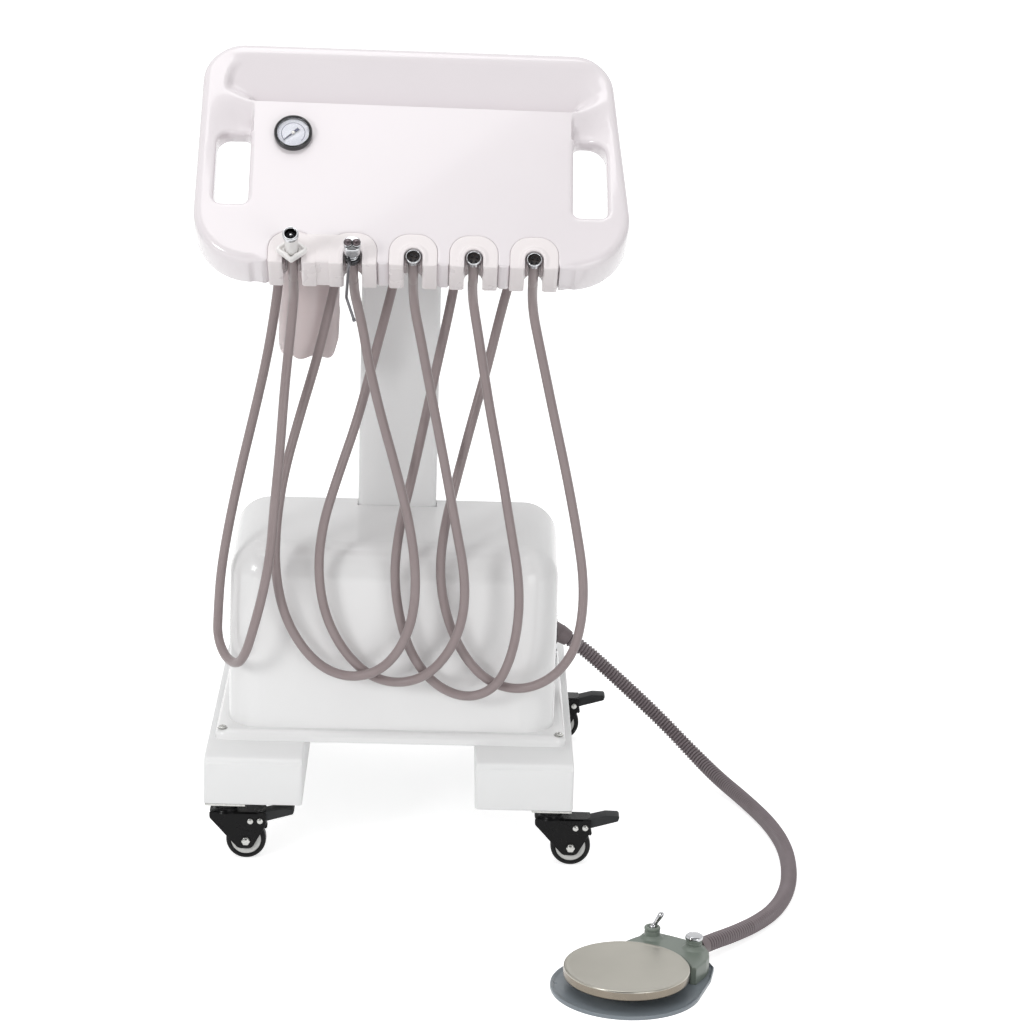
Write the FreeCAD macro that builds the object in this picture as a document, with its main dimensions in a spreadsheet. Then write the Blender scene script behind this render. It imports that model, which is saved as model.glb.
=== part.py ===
import FreeCAD, Part
import Sketcher
import math
import os
import re

# Portable dental unit: a wheeled steel base with a compressor under a moulded cover, a square
# column, a sloping instrument console with five holders, a water bottle, and a foot control on
# a corrugated hose. Millimetres. X runs to the user's right, Y away from the user, Z up. The
# origin is on the floor, between the four casters.
#
# The console's own pieces are drawn in the console's frame (u across, v up the slope, w out of
# the deck) and set on it by on_console().

Vector = FreeCAD.Vector
Rotation = FreeCAD.Rotation
X_AXIS = Vector(1, 0, 0)
Y_AXIS = Vector(0, 1, 0)
Z_AXIS = Vector(0, 0, 1)

SIZES = {
    # Steel base: two box feet with a plate welded between them.
    "base_width": 458,
    "foot_width": 122,
    "foot_front": 255,
    "foot_back": 253,
    "foot_bottom": 77,
    "foot_height": 60,
    "foot_bend": 9,
    "steel_wall": 2.5,
    "foot_landing": 78,
    "plate_front": 180,
    "plate_back": 190,
    "plate_thick": 3,
    # Casters: pad, kingpin, fork, wheel and brake pedal.
    "caster_x": 202.5,
    "caster_front": 231,
    "caster_back": 228,
    "caster_trail": 25.5,
    "caster_pad_x": 50,
    "caster_pad_y": 46,
    "caster_pad_thick": 2.5,
    "kingpin_radius": 5,
    "kingpin_nut_radius": 8.5,
    "kingpin_nut_height": 3.5,
    "raceway_radius": 18,
    "raceway_height": 11,
    "crown_thick": 2.5,
    "crown_front": 20,
    "crown_back": 50,
    "fork_gap": 23,
    "fork_plate": 2,
    "fork_nose_half": 9,
    "fork_nose_drop": 10,
    "fork_cheek_drop": 14,
    "fork_front_drop": 5,
    "wheel_radius": 25,
    "wheel_width": 18,
    "wheel_hub_radius": 9,
    "wheel_dish": 2.5,
    "wheel_rim_radius": 19,
    "wheel_bevel": 2,
    "axle_radius": 3,
    "axle_head_radius": 5.5,
    "axle_head_height": 3.5,
    "brake_pin_x": 40,
    "brake_pin_drop": 7,
    "brake_pin_radius": 2.5,
    "pedal_reach": 84,
    "pedal_thick": 5,
    "pedal_pad_start": 57,
    "pedal_pad_rise": 14,
    "pedal_heel": 5,
    "pedal_under": 5,
    "pedal_slope": 8,
    "turn_gap": 0.3,
    "side_gap": 0.5,
    "bore_gap": 0.08,
    # Moulded cover over the compressor.
    "cover_half_width": 220,
    "cover_front": 187,
    "cover_back": 181,
    "cover_lip": 13,
    "cover_ledge": 14,
    "cover_wall": 3,
    "cover_front_top": 378,
    "cover_top": 403,
    "cover_back_top": 354,
    "cover_front_lean": 7,
    "cover_crest_y": 0,
    "cover_round": 44,
    "cover_flange_round": 12,
    "screw_inset": 9,
    "screw_radius": 5,
    "screw_height": 3.2,
    "screw_shank_radius": 2,
    # Side fans behind round vents in the cover.
    "fan_y": -55,
    "fan_z": 240,
    "fan_square": 92,
    "fan_depth": 25,
    "fan_duct_radius": 42,
    "fan_blade_radius": 40,
    "fan_hub_radius": 17,
    "fan_spider": 4,
    "fan_spindle_radius": 3,
    "fan_blade_thick": 2,
    "fan_blade_root": 4,
    "fan_blade_pitch": 35,
    "guard_wire": 2,
    "guard_rings": 4,
    "guard_radius": 46,
    # Column and the bracket that carries the console.
    "column_width": 100,
    "column_depth": 60,
    "column_y": 10,
    "column_top": 925,
    "column_wall": 2.5,
    "column_corner": 7,
    "column_flange": 14,
    "column_flange_thick": 4,
    "column_hole_gap": 0.5,
    "bracket_width": 80,
    "bracket_drop": 145,
    "bracket_low_v": -10,
    "bracket_high_v": 84,
    "bracket_wall": 3,
    # Console moulding, in its own frame.
    "deck_x": 12,
    "deck_y": -195,
    "deck_drop": 57,
    "deck_tilt": 50,
    "deck_front": 129.5,
    "deck_back": 169,
    "deck_left_front": 258,
    "deck_left_back": 253.5,
    "deck_right_front": 268.5,
    "deck_right_back": 236.5,
    "deck_skew": 5,
    "deck_thick": 58,
    "deck_front_round": 70,
    "deck_back_round": 50,
    "deck_edge_round": 9,
    "deck_wall": 4,
    "tray_half": 214,
    "tray_front": 88,
    "tray_back": 149,
    "tray_depth": 20,
    "grip_in": 193,
    "grip_out": 234,
    "grip_front": 60,
    "grip_back": 48,
    "grip_round": 8,
    "grip_thick": 34,
    "grip_sink": 7,
    "grip_sink_in": 190,
    "grip_sink_out": 240,
    "grip_sink_front": 76,
    "grip_under_in": 186,
    "grip_under_front": 76,
    "cavity_half": 178,
    "cavity_front": 84,
    "cavity_back": 82,
    "closing_lip": 4,
    "closing_thick": 3,
    # Instrument holders in the console's front edge.
    "holder_pitch": 71.4,
    "holder_mid": 5,
    "holder_v": 119.5,
    "holder_half": 30,
    "holder_proud": 2,
    "holder_raise": 3,
    "notch_radius": 11,
    "collar_radius": 15,
    "collar_height": 2.5,
    "seat_radius": 8,
    "seat_depth": 6,
    "seat_thick": 4,
    # Instruments.
    "shank_radius": 6.4,
    "shank_end": 60,
    "head_radius": 9.2,
    "head_top": 1,
    "coupler_socket_radius": 7,
    "coupler_socket_depth": 2,
    "coupler_port_radius": 1.4,
    "coupler_port_ring": 3.6,
    "coupler_port_depth": 9,
    "shank_taper": 1.6,
    "shank_taper_length": 12,
    "suction_tube_radius": 7.6,
    "suction_top": 30,
    "suction_tip_radius": 5.5,
    "suction_tip_bore": 4.3,
    "suction_tip_length": 20,
    "suction_valve_seat": 6,
    "suction_valve_radius": 12.5,
    "suction_valve_length": 7,
    "suction_valve_ear": 4,
    "suction_bore_depth": 8,
    "syringe_head_start": 6,
    "syringe_top": 17,
    "syringe_head_width": 20,
    "syringe_head_depth": 16,
    "syringe_head_round": 4,
    "button_radius": 4,
    "button_height": 4.5,
    "button_sunk": 7,
    "button_travel": 2.5,
    "button_spacing": 9,
    "outlet_half": 2,
    "outlet_height": 6,
    "outlet_rise": 2,
    "nozzle_radius": 1.7,
    "nozzle_side": 3.5,
    "nozzle_forward": 12.5,
    "nozzle_lean": 4.5,
    "nozzle_drop": 78,
    "nozzle_tail_side": 9,
    "nozzle_tail_forward": 14,
    "nozzle_tail_drop": 32,
    # Pressure gauge on the deck.
    "gauge_u": -142.5,
    "gauge_v": 42,
    "gauge_radius": 23,
    "gauge_height": 9.5,
    "gauge_case_radius": 20,
    "gauge_case_depth": 24,
    "gauge_ledge_radius": 18.2,
    "gauge_glass_radius": 19.4,
    "gauge_glass_seat": 6.3,
    "gauge_glass_thick": 1.4,
    "gauge_floor": 2,
    "gauge_bevel": 1.5,
    "dial_thick": 0.6,
    "needle_length": 14,
    "needle_tail": 5.5,
    "needle_width": 1.6,
    "needle_height": 4,
    "needle_thick": 0.6,
    "needle_hub_radius": 2.4,
    "needle_pin_radius": 0.8,
    "needle_angle": 222,
    # Water bottle hung under the console.
    "bottle_x": -112,
    "bottle_y": -95,
    "bottle_hang": 255,
    "bottle_radius": 38,
    "bottle_height": 240,
    "bottle_shoulder": 178,
    "bottle_neck_radius": 13,
    "bottle_neck_height": 20,
    "bottle_wall": 1,
    "bottle_foot": 10,
    "cap_radius": 17,
    "cap_skirt": 16,
    "cap_roof": 4,
    "cap_block": 44,
    "pickup_radius": 3,
    "pickup_clear": 14,
    # Hoses and their glands.
    "hose_diameter": 11,
    "gland_v": -60,
    "gland_shift": -16,
    "gland_radius": 8,
    "gland_length": 12,
    "foot_hose_diameter": 20,
    "foot_gland_y": 93,
    "foot_gland_z": 197,
    "foot_gland_radius": 17,
    "foot_gland_length": 12,
    # Compressor under the cover.
    "pump_y": -93,
    "pump_lift": 22,
    "pump_motor_radius": 52,
    "pump_motor_length": 118,
    "pump_case_length": 58,
    "pump_case_depth": 104,
    "pump_case_height": 106,
    "pump_barrel_radius": 30,
    "pump_barrel_height": 34,
    "pump_head_square": 72,
    "pump_head_height": 30,
    "pump_fin_gap": 4,
    "pump_fin_depth": 9,
    "pump_pipe_radius": 5,
    "pump_shaft_radius": 6,
    "pump_fan_radius": 48,
    "pump_fan_thick": 8,
    "pump_foot_radius": 12,
    # Mains inlet and rocker switch at the back.
    "inlet_x": 120,
    "inlet_z": 200,
    "inlet_width": 48,
    "inlet_height": 30,
    "inlet_flange": 3,
    "inlet_proud": 2.5,
    "inlet_depth": 26,
    "socket_width": 24,
    "socket_height": 17,
    "socket_depth": 17,
    "socket_pin_radius": 1.2,
    "socket_pin_pitch": 7,
    "rocker_width": 12,
    "rocker_height": 20,
    "rocker_depth": 8,
    "rocker_pin_radius": 1.2,
    "rocker_pin_reach": 1.5,
    # Foot control.
    "pedal_x": 281.5,
    "pedal_y": -611,
    "tread_radius": 72.5,
    "tread_top": 28,
    "tread_skirt": 12,
    "tread_wall": 1.5,
    "tread_stem_radius": 9,
    "tread_travel": 3,
    "tread_gap": 2.5,
    "tray_radius": 87,
    "tray_thick": 2,
    "tray_rim": 2.5,
    "spring_boss": 12,
    "valve_height": 24,
    "toggle_tower_top": 38,
    "toggle_tower_radius": 9.3,
    "toggle_u": 34,
    "toggle_v": 94,
    "toggle_ball": 4,
    "toggle_radius": 2,
    "toggle_pin_radius": 1.2,
    "toggle_pin_half": 5.5,
    "toggle_length": 18,
    "toggle_lean": 30,
    "cap_tower_top": 35,
    "cap_tower_radius": 9,
    "cap_u": 81,
    "cap_v": 65,
    "cap_hex": 9.5,
    "cap_height": 5,
    "tower_flare": 4.5,
}

# Routes of the free hoses, as points picked by hand. Each instrument hose leaves the console's
# underside, hangs in a loop in front of the cover and comes up in front into its instrument.
INSTRUMENT_ROUTES = [
    [(-142, -177.6, 775.1), (-142, -156.9, 757.7), (-146, -145.5, 733), (-151, -146, 685),
     (-161, -148, 620), (-176, -151, 550), (-192, -154, 480), (-206, -156, 410), (-216, -155, 346),
     (-219, -152, 294), (-220, -152, 262), (-208.5, -170.5, 240), (-191.5, -197.5, 240),
     (-180, -216, 262),
     (-171, -217, 294), (-160, -216, 338), (-151, -213, 390), (-147, -208, 450), (-141, -203, 520),
     (-137, -197, 590), (-132, -190, 648), (-128, -190.2, 691), (-126, -202.9, 718.6),
     (-126, -225.8, 737.9)],
    [(-70, -177.6, 775.1), (-70, -156.9, 757.7), (-75, -145.5, 733), (-85, -146, 685),
     (-100, -151, 620), (-120, -161, 550), (-138, -172, 480), (-146, -181, 420), (-147, -187, 362),
     (-136, -190, 306), (-112, -192, 262), (-82, -196, 235), (-47, -202, 228), (-13, -209, 241),
     (12, -214, 273), (26, -216, 316), (28, -213, 368), (19, -208, 430), (0, -203, 500),
     (-21, -197, 570), (-36, -191, 630), (-42, -188, 664), (-48, -190.2, 691), (-54, -202.9, 718.6),
     (-54, -225.8, 737.9)],
    [(1, -177.6, 775.1), (1, -156.9, 757.7), (-4, -145.5, 733), (-15, -146, 685),
     (-31, -151, 620), (-48, -161, 550), (-71, -172, 480), (-89, -181, 420), (-94, -187, 362),
     (-85, -189, 306), (-61, -189, 258), (-27, -191, 226), (10, -198, 220), (45, -208, 235),
     (73, -214, 271), (88, -216, 316), (88, -213, 368), (75, -208, 430), (61, -203, 500),
     (46, -197, 570), (33, -191, 630), (26, -188, 664), (20, -190.2, 691), (17, -202.9, 718.6),
     (17, -225.8, 737.9)],
    [(72, -177.6, 775.1), (72, -156.9, 757.7), (69, -145.5, 733), (61, -146, 685),
     (48, -151, 620), (34, -161, 550), (20, -172, 480), (6, -181, 420), (0, -187, 362),
     (7, -190, 306), (25, -191, 252), (57, -193, 215), (96, -199, 203), (130, -208, 221),
     (148, -214, 263), (156, -216, 316), (154, -213, 368), (142, -208, 430), (129, -203, 500),
     (114, -197, 570), (103, -191, 630), (97, -188, 664), (92, -190.2, 691), (88, -202.9, 718.6),
     (88, -225.8, 737.9)],
    [(144, -177.6, 775.1), (144, -156.9, 757.7), (136, -145.5, 733), (124, -146, 685),
     (110, -151, 620), (92, -161, 550), (75, -172, 480), (61, -181, 420), (56, -187, 362),
     (66, -190, 306), (88, -191, 257), (119, -193, 224), (158, -199, 215), (196, -208, 232),
     (224, -214, 268), (234, -216, 316), (234, -213, 368), (223, -208, 430), (208, -203, 500),
     (191, -197, 570), (177, -191, 630), (169, -188, 664), (163, -190.2, 691), (160, -202.9, 718.6),
     (160, -225.8, 737.9)],
]
# The foot hose leaves an elbow on the cover's right side, comes down to the floor and runs to
# the foot control.
FOOT_ROUTE = [(218, 93, 197), (244, 92, 182), (281, 91, 150), (320, 89, 115), (359, 86, 79),
              (397, 70, 44), (432, 34, 19), (465, -30, 11), (490, -108, 10), (502, -190, 11),
              (501, -268, 10), (491, -338, 11), (472, -394, 10), (445, -440, 11), (412, -482, 14),
              (389, -508, 17), (367.5, -532, 18)]
TURN_SHARE = 0.45

doc = FreeCAD.newDocument("portable_dental_unit")
sheet = doc.addObject("Spreadsheet::Sheet", "sizes")
for row, (alias, number) in enumerate(SIZES.items(), 1):
    sheet.set("A%d" % row, alias)
    sheet.set("B%d" % row, str(number))
    sheet.setAlias("B%d" % row, alias)
doc.recompute()

pieces = {}


def formula(text):
    """Point each size named in a formula at its cell in the sheet."""
    return re.sub(r"[a-z][a-z_0-9]*",
                  lambda word: "sizes." + word.group(0) if word.group(0) in SIZES else word.group(0),
                  str(text))


def value(text):
    """The number that a formula of sizes gives now."""
    number = sheet.evalExpression(formula(text))
    return float(getattr(number, "Value", number))


def bind(item, **formulas):
    """Bind properties of an object to formulas of sizes."""
    for name, text in formulas.items():
        item.setExpression(name, formula(text))
    return item


def place(item, x=0, y=0, z=0, axis=None, angle=0):
    """Set an object down at x, y, z, turned about an axis through that point."""
    if axis is not None:
        item.Placement.Rotation = Rotation(axis, 10)
        item.setExpression("Placement.Rotation.Angle", formula(angle))
    item.setExpression("Placement.Base.x", formula(x))
    item.setExpression("Placement.Base.y", formula(y))
    item.setExpression("Placement.Base.z", formula(z))
    return item


# The console's middle hangs from the column's top.
DECK_Z = "(column_top - deck_drop)"


def on_console(item, u=0, v=0, w=0):
    """Set an object down on the sloping console at u, v, w."""
    return place(item, "deck_x + (%s)" % u,
                 "deck_y + (%s)*cos(deck_tilt) - (%s)*sin(deck_tilt)" % (v, w),
                 "%s + (%s)*sin(deck_tilt) + (%s)*cos(deck_tilt)" % (DECK_Z, v, w),
                 X_AXIS, "deck_tilt")


def box(name, length, width, height, x=0, y=0, z=0):
    """A block from its low corner."""
    item = bind(doc.addObject("Part::Box", name), Length=length, Width=width, Height=height)
    return place(item, x, y, z)


def slab(name, length, width, height, x=0, y=0, z=0):
    """A block centred in X and Y that stands on z."""
    return box(name, length, width, height,
               "(%s) - (%s)/2" % (x, length), "(%s) - (%s)/2" % (y, width), z)


def rod(name, radius, height, x=0, y=0, z=0, along="Z"):
    """A cylinder from x, y, z along one axis."""
    item = bind(doc.addObject("Part::Cylinder", name), Radius=radius, Height=height)
    turns = {"Z": (None, 0), "X": (Y_AXIS, 90), "Y": (X_AXIS, -90)}
    axis, angle = turns[along]
    return place(item, x, y, z, axis, angle)


def cut(name, base, *tools):
    """Take tools away from a base."""
    for number, tool in enumerate(tools, 1):
        item = doc.addObject("Part::Cut", name if number == len(tools) else "%s_cut_%d" % (name, number))
        item.Base = base
        item.Tool = tool
        base = item
    return base


def fuse(name, *shapes):
    """Join shapes into one solid."""
    item = doc.addObject("Part::MultiFuse", name)
    item.Shapes = list(shapes)
    item.Refine = True
    return item


def group(name, *shapes):
    """Hold separate solids together as one sub-part."""
    item = doc.addObject("Part::Compound", name)
    item.Links = list(shapes)
    return item


def edge_names(shape, test):
    """Numbers of the edges whose bounding box passes a test."""
    return [i for i, edge in enumerate(shape.Edges, 1) if test(edge.BoundBox)]


def rounded(name, base, radius, test):
    """Round the edges of an object that pass a test."""
    doc.recompute()
    size = value(radius)
    item = doc.addObject("Part::Fillet", name)
    item.Base = base
    item.Edges = [(i, size, size) for i in edge_names(base.Shape, test)]
    return item


def near(a, b):
    """Whether two lengths are the same."""
    return abs(a - b) < 1e-4


def upright(bounds):
    """Whether an edge stands along Z."""
    return bounds.XLength < 1e-4 and bounds.YLength < 1e-4 and bounds.ZLength > 1e-3


def new_body(name):
    """An empty PartDesign body."""
    return doc.addObject("PartDesign::Body", name)


def outline(body, name, role, points, lift=0):
    """A closed sketch of straight lines on a plane of the body, each corner held by formulas."""
    sketch = body.newObject("Sketcher::SketchObject", name)
    plane = [feature for feature in body.Origin.OriginFeatures if feature.Role == role][0]
    sketch.AttachmentSupport = (plane, [""])
    sketch.MapMode = "FlatFace"
    sketch.setExpression("AttachmentOffset.Base.z", formula(lift))
    spots = [Vector(value(a), value(b), 0) for a, b in points]
    count = len(spots)
    for i, spot in enumerate(spots):
        sketch.addGeometry(Part.LineSegment(spot, spots[(i + 1) % count]), False)
    for i in range(count):
        sketch.addConstraint(Sketcher.Constraint("Coincident", i, 2, (i + 1) % count, 1))
    for i, (across, along) in enumerate(points):
        for kind, number, text in (("DistanceX", spots[i].x, across), ("DistanceY", spots[i].y, along)):
            index = sketch.addConstraint(Sketcher.Constraint(kind, -1, 1, i, 1, number))
            sketch.setExpression("Constraints[%d]" % index, formula(text))
    return sketch


def pad(body, name, sketch, length, reverse=False, middle=False):
    """Raise a sketch into a solid."""
    feature = body.newObject("PartDesign::Pad", name)
    feature.Profile = sketch
    feature.Reversed = reverse
    feature.Midplane = middle
    feature.setExpression("Length", formula(length))
    return feature


def pocket(body, name, sketch, length, reverse=False, middle=False):
    """Sink a sketch into the solid."""
    feature = body.newObject("PartDesign::Pocket", name)
    feature.Profile = sketch
    feature.Reversed = reverse
    feature.Midplane = middle
    feature.setExpression("Length", formula(length))
    return feature


def soften(body, name, radius, test):
    """Fillet the edges of the body's last feature that pass a test."""
    doc.recompute()
    tip = body.Tip
    feature = body.newObject("PartDesign::Fillet", name)
    feature.Base = (tip, ["Edge%d" % i for i in edge_names(tip.Shape, test)])
    feature.setExpression("Radius", formula(radius))
    return feature


def turned(name, points):
    """A body turned about Z from half of its section, as (radius, height) corners."""
    body = new_body(name)
    sketch = outline(body, name + "_section", "XZ_Plane", points)
    feature = body.newObject("PartDesign::Revolution", name + "_turned")
    feature.Profile = sketch
    feature.ReferenceAxis = (sketch, ["V_Axis"])
    feature.Angle = 360
    return body


def keep(name, item):
    """Name a finished sub-part."""
    item.Label = name
    pieces[name] = item
    return item


# ---------------------------------------------------------------- base


def make_foot(name, corner_x):
    """A box-section foot, bent over at both ends, open underneath between its casters."""
    outer = box(name + "_outer", "foot_width", "foot_front + foot_back", "foot_height",
                corner_x, "-foot_front", "foot_bottom")
    top = value("foot_bottom + foot_height")
    bent = rounded(name + "_bent", outer, "foot_bend",
                   lambda b: near(b.ZMin, top) and b.ZLength < 1e-4 and b.YLength < 1e-4)
    inner = box(name + "_inner", "foot_width - 2*steel_wall",
                "foot_front + foot_back - 2*steel_wall", "foot_height - 2*steel_wall",
                "%s + steel_wall" % corner_x, "steel_wall - foot_front", "foot_bottom + steel_wall")
    slot = box(name + "_slot", "foot_width - 2*steel_wall",
               "foot_front + foot_back - 2*foot_landing", "2*steel_wall",
               "%s + steel_wall" % corner_x, "foot_landing - foot_front", "foot_bottom - steel_wall")
    keep(name, cut(name, bent, inner, slot))


def make_base_plate():
    """The plate welded between the feet, flush with their tops."""
    keep("base_plate", box("base_plate", "base_width - 2*foot_width", "plate_front + plate_back",
                           "plate_thick", "foot_width - base_width/2", "-plate_front",
                           "foot_bottom + foot_height - plate_thick"))


# ---------------------------------------------------------------- casters

CASTERS = {
    "front_left": ("-caster_x", "-caster_front"),
    "front_right": ("caster_x", "-caster_front"),
    "back_left": ("-caster_x", "caster_back"),
    "back_right": ("caster_x", "caster_back"),
}
PAD_BOTTOM = "(foot_bottom - caster_pad_thick)"
CROWN_TOP = "(foot_bottom - caster_pad_thick - turn_gap - raceway_height)"
CROWN_BOTTOM = "(foot_bottom - caster_pad_thick - turn_gap - raceway_height - crown_thick)"
BRAKE_Z = "(foot_bottom - caster_pad_thick - turn_gap - raceway_height - brake_pin_drop)"


def make_caster_plates():
    """Four pads under the feet, each with its kingpin and the nut that holds the fork."""
    solids = []
    for corner, (x, y) in CASTERS.items():
        name = "caster_plate_" + corner
        base = slab(name + "_pad", "caster_pad_x", "caster_pad_y", "caster_pad_thick", x, y, PAD_BOTTOM)
        pin = rod(name + "_pin", "kingpin_radius",
                  "turn_gap*2 + raceway_height + crown_thick + kingpin_nut_height", x, y,
                  "%s - turn_gap - kingpin_nut_height" % CROWN_BOTTOM)
        nut = rod(name + "_nut", "kingpin_nut_radius", "kingpin_nut_height", x, y,
                  "%s - turn_gap - kingpin_nut_height" % CROWN_BOTTOM)
        solids.append(fuse(name, base, pin, nut))
    keep("caster_plates", group("caster_plates", *solids))


def make_fork(corner, x, y):
    """A fork turning on its kingpin, with the axle bolt and the brake's pin as solids of it."""
    name = "caster_fork_" + corner
    race = rod(name + "_race", "raceway_radius", "raceway_height + crown_thick", 0, 0, CROWN_BOTTOM)
    crown = box(name + "_crown", "crown_front + crown_back", "fork_gap + 2*fork_plate", "crown_thick",
                "-crown_front", "-fork_gap/2 - fork_plate", CROWN_BOTTOM)
    body = new_body(name + "_cheeks")
    section = outline(body, name + "_cheek", "XZ_Plane", [
        ("-crown_front", CROWN_BOTTOM), ("-crown_front", "%s - fork_front_drop" % CROWN_BOTTOM),
        ("caster_trail - fork_nose_half", "wheel_radius - fork_nose_drop"),
        ("caster_trail + fork_nose_half", "wheel_radius - fork_nose_drop"),
        ("crown_back", "%s - fork_cheek_drop" % CROWN_BOTTOM), ("crown_back", CROWN_BOTTOM)])
    pad(body, name + "_cheek_pad", section, "fork_gap + 2*fork_plate", middle=True)
    gap = box(name + "_gap", "2*crown_back + 2*crown_front", "fork_gap", "foot_bottom",
              "-crown_front - crown_back", "-fork_gap/2", "%s - foot_bottom" % CROWN_BOTTOM)
    cheeks = cut(name + "_open", body, gap)
    shell = fuse(name + "_shell", race, crown, cheeks)
    bore = rod(name + "_bore", "kingpin_radius + bore_gap", "foot_bottom", 0, 0, "foot_bottom/2")
    steel = cut(name + "_steel", shell, bore)
    half = "(fork_gap/2 + fork_plate)"
    axle = fuse(name + "_axle",
                rod(name + "_axle_rod", "axle_radius", "fork_gap", "caster_trail", "-fork_gap/2",
                    "wheel_radius", "Y"),
                rod(name + "_axle_head", "axle_head_radius", "axle_head_height", "caster_trail",
                    "-%s - axle_head_height" % half, "wheel_radius", "Y"),
                rod(name + "_axle_nut", "axle_head_radius", "axle_head_height", "caster_trail", half,
                    "wheel_radius", "Y"),
                rod(name + "_axle_ends", "axle_radius", "2*%s" % half, "caster_trail", "-%s" % half,
                    "wheel_radius", "Y"))
    pin = rod(name + "_brake_pin", "brake_pin_radius", "2*%s" % half, "brake_pin_x", "-%s" % half,
              BRAKE_Z, "Y")
    drilled = cut(name + "_drilled", steel,
                  rod(name + "_axle_hole", "axle_radius", "4*%s" % half, "caster_trail",
                      "-2*%s" % half, "wheel_radius", "Y"),
                  rod(name + "_pin_hole", "brake_pin_radius", "4*%s" % half, "brake_pin_x",
                      "-2*%s" % half, BRAKE_Z, "Y"))
    item = place(group(name, drilled, axle, pin), x, y, 0)
    keep(name, item)


def make_wheel(corner, x, y):
    """A wheel with a dished web, bored to run on the axle."""
    name = "caster_wheel_" + corner
    half = "wheel_width/2"
    hub = "(fork_gap/2 - turn_gap)"
    body = turned(name, [
        ("axle_radius + bore_gap", "-%s" % hub), ("wheel_hub_radius", "-%s" % hub),
        ("wheel_hub_radius", "wheel_dish - %s" % half), ("wheel_rim_radius", "wheel_dish - %s" % half),
        ("wheel_rim_radius", "-%s" % half), ("wheel_radius - wheel_bevel", "-%s" % half),
        ("wheel_radius", "wheel_bevel - %s" % half), ("wheel_radius", "%s - wheel_bevel" % half),
        ("wheel_radius - wheel_bevel", half), ("wheel_rim_radius", half),
        ("wheel_rim_radius", "%s - wheel_dish" % half), ("wheel_hub_radius", "%s - wheel_dish" % half),
        ("wheel_hub_radius", hub), ("axle_radius + bore_gap", hub)])
    keep(name, place(body, "%s + caster_trail" % x, y, "wheel_radius", X_AXIS, "90"))


def make_brake(corner, x, y):
    """A brake pedal on the fork's rear pin, with a raised pad beyond the fork."""
    name = "brake_pedal_" + corner
    body = new_body(name + "_blank")
    top = "(%s + brake_pin_drop - crown_thick - side_gap)" % BRAKE_Z
    section = outline(body, name + "_side", "XZ_Plane", [
        ("brake_pin_x - pedal_heel", "%s - pedal_under + 1" % BRAKE_Z),
        ("brake_pin_x + pedal_heel + 1", "%s - pedal_under" % BRAKE_Z),
        ("pedal_reach", "%s + pedal_pad_rise - pedal_thick" % BRAKE_Z),
        ("pedal_reach", "%s + pedal_pad_rise" % BRAKE_Z),
        ("pedal_pad_start + pedal_slope", "%s + pedal_pad_rise" % BRAKE_Z), ("pedal_pad_start", top),
        ("brake_pin_x", top), ("brake_pin_x - pedal_heel", "%s + 1" % BRAKE_Z)])
    pad(body, name + "_pad", section, "fork_gap - 2*side_gap", middle=True)
    hole = rod(name + "_hole", "brake_pin_radius + bore_gap", "2*fork_gap", "brake_pin_x",
               "-fork_gap", BRAKE_Z, "Y")
    keep(name, place(cut(name, body, hole), x, y, 0))


# ---------------------------------------------------------------- cover and fans

FOOT_TOP = "(foot_bottom + foot_height)"
DOME_HALF = "(cover_half_width - cover_ledge)"
DOME_FRONT = "(cover_front - cover_ledge)"
DOME_BACK = "(cover_back - cover_ledge)"


def make_dome(name, inset):
    """The cover's raised form: a slab of its side view, all its upper edges rounded."""
    body = new_body(name)
    section = outline(body, name + "_side", "YZ_Plane", [
        ("%s - %s" % (inset, DOME_FRONT), FOOT_TOP),
        ("%s - %s + cover_front_lean" % (inset, DOME_FRONT), "cover_front_top - %s" % inset),
        ("cover_crest_y", "cover_top - %s" % inset),
        ("%s - %s" % (DOME_BACK, inset), "cover_back_top - %s" % inset),
        ("%s - %s" % (DOME_BACK, inset), FOOT_TOP)])
    pad(body, name + "_pad", section, "2*(%s - %s)" % (DOME_HALF, inset), middle=True)
    floor = value(FOOT_TOP)
    crest = value("cover_crest_y")
    soften(body, name + "_round", "cover_round - %s" % inset,
           lambda b: not (near(b.ZMin, floor) and b.ZLength < 1e-4)
           and not (b.YLength < 1e-4 and near(b.YMin, crest)))
    return body


def make_cover():
    """The moulded cover: dome, flat rim, round vents, and an opening for the column."""
    flange = slab("cover_flange", "2*cover_half_width", "cover_front + cover_back", "cover_lip",
                  0, "(cover_back - cover_front)/2", FOOT_TOP)
    flange = rounded("cover_flange_round", flange, "cover_flange_round", upright)
    top = value("%s + cover_lip" % FOOT_TOP)
    flange = rounded("cover_flange_soft", flange, "0.6*cover_lip",
                     lambda b: near(b.ZMin, top) and b.ZLength < 1e-4)
    outer = fuse("cover_outer", flange, make_dome("cover_dome", "0"))
    inner = make_dome("cover_hollow", "cover_wall")
    vents = [rod("cover_vent_" + side, "fan_duct_radius", "4*cover_ledge", x, "fan_y", "fan_z", "X")
             for side, x in (("left", "-cover_half_width"), ("right", "cover_half_width - 4*cover_ledge"))]
    shaft = slab("cover_column_hole", "column_width + 2*column_hole_gap",
                 "column_depth + 2*column_hole_gap", "cover_top", 0, "column_y", FOOT_TOP)
    inlet = slab("cover_inlet_hole", "inlet_width", "4*cover_ledge", "inlet_height", "inlet_x",
                 DOME_BACK, "inlet_z - inlet_height/2")
    holes = [rod("cover_screw_hole_%d" % i, "screw_shank_radius", "3*cover_lip", x, y,
                 "%s - cover_lip" % FOOT_TOP) for i, (x, y) in enumerate(SCREWS, 1)]
    keep("base_cover", cut("base_cover", outer, inner, *vents, shaft, inlet, *holes))


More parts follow.
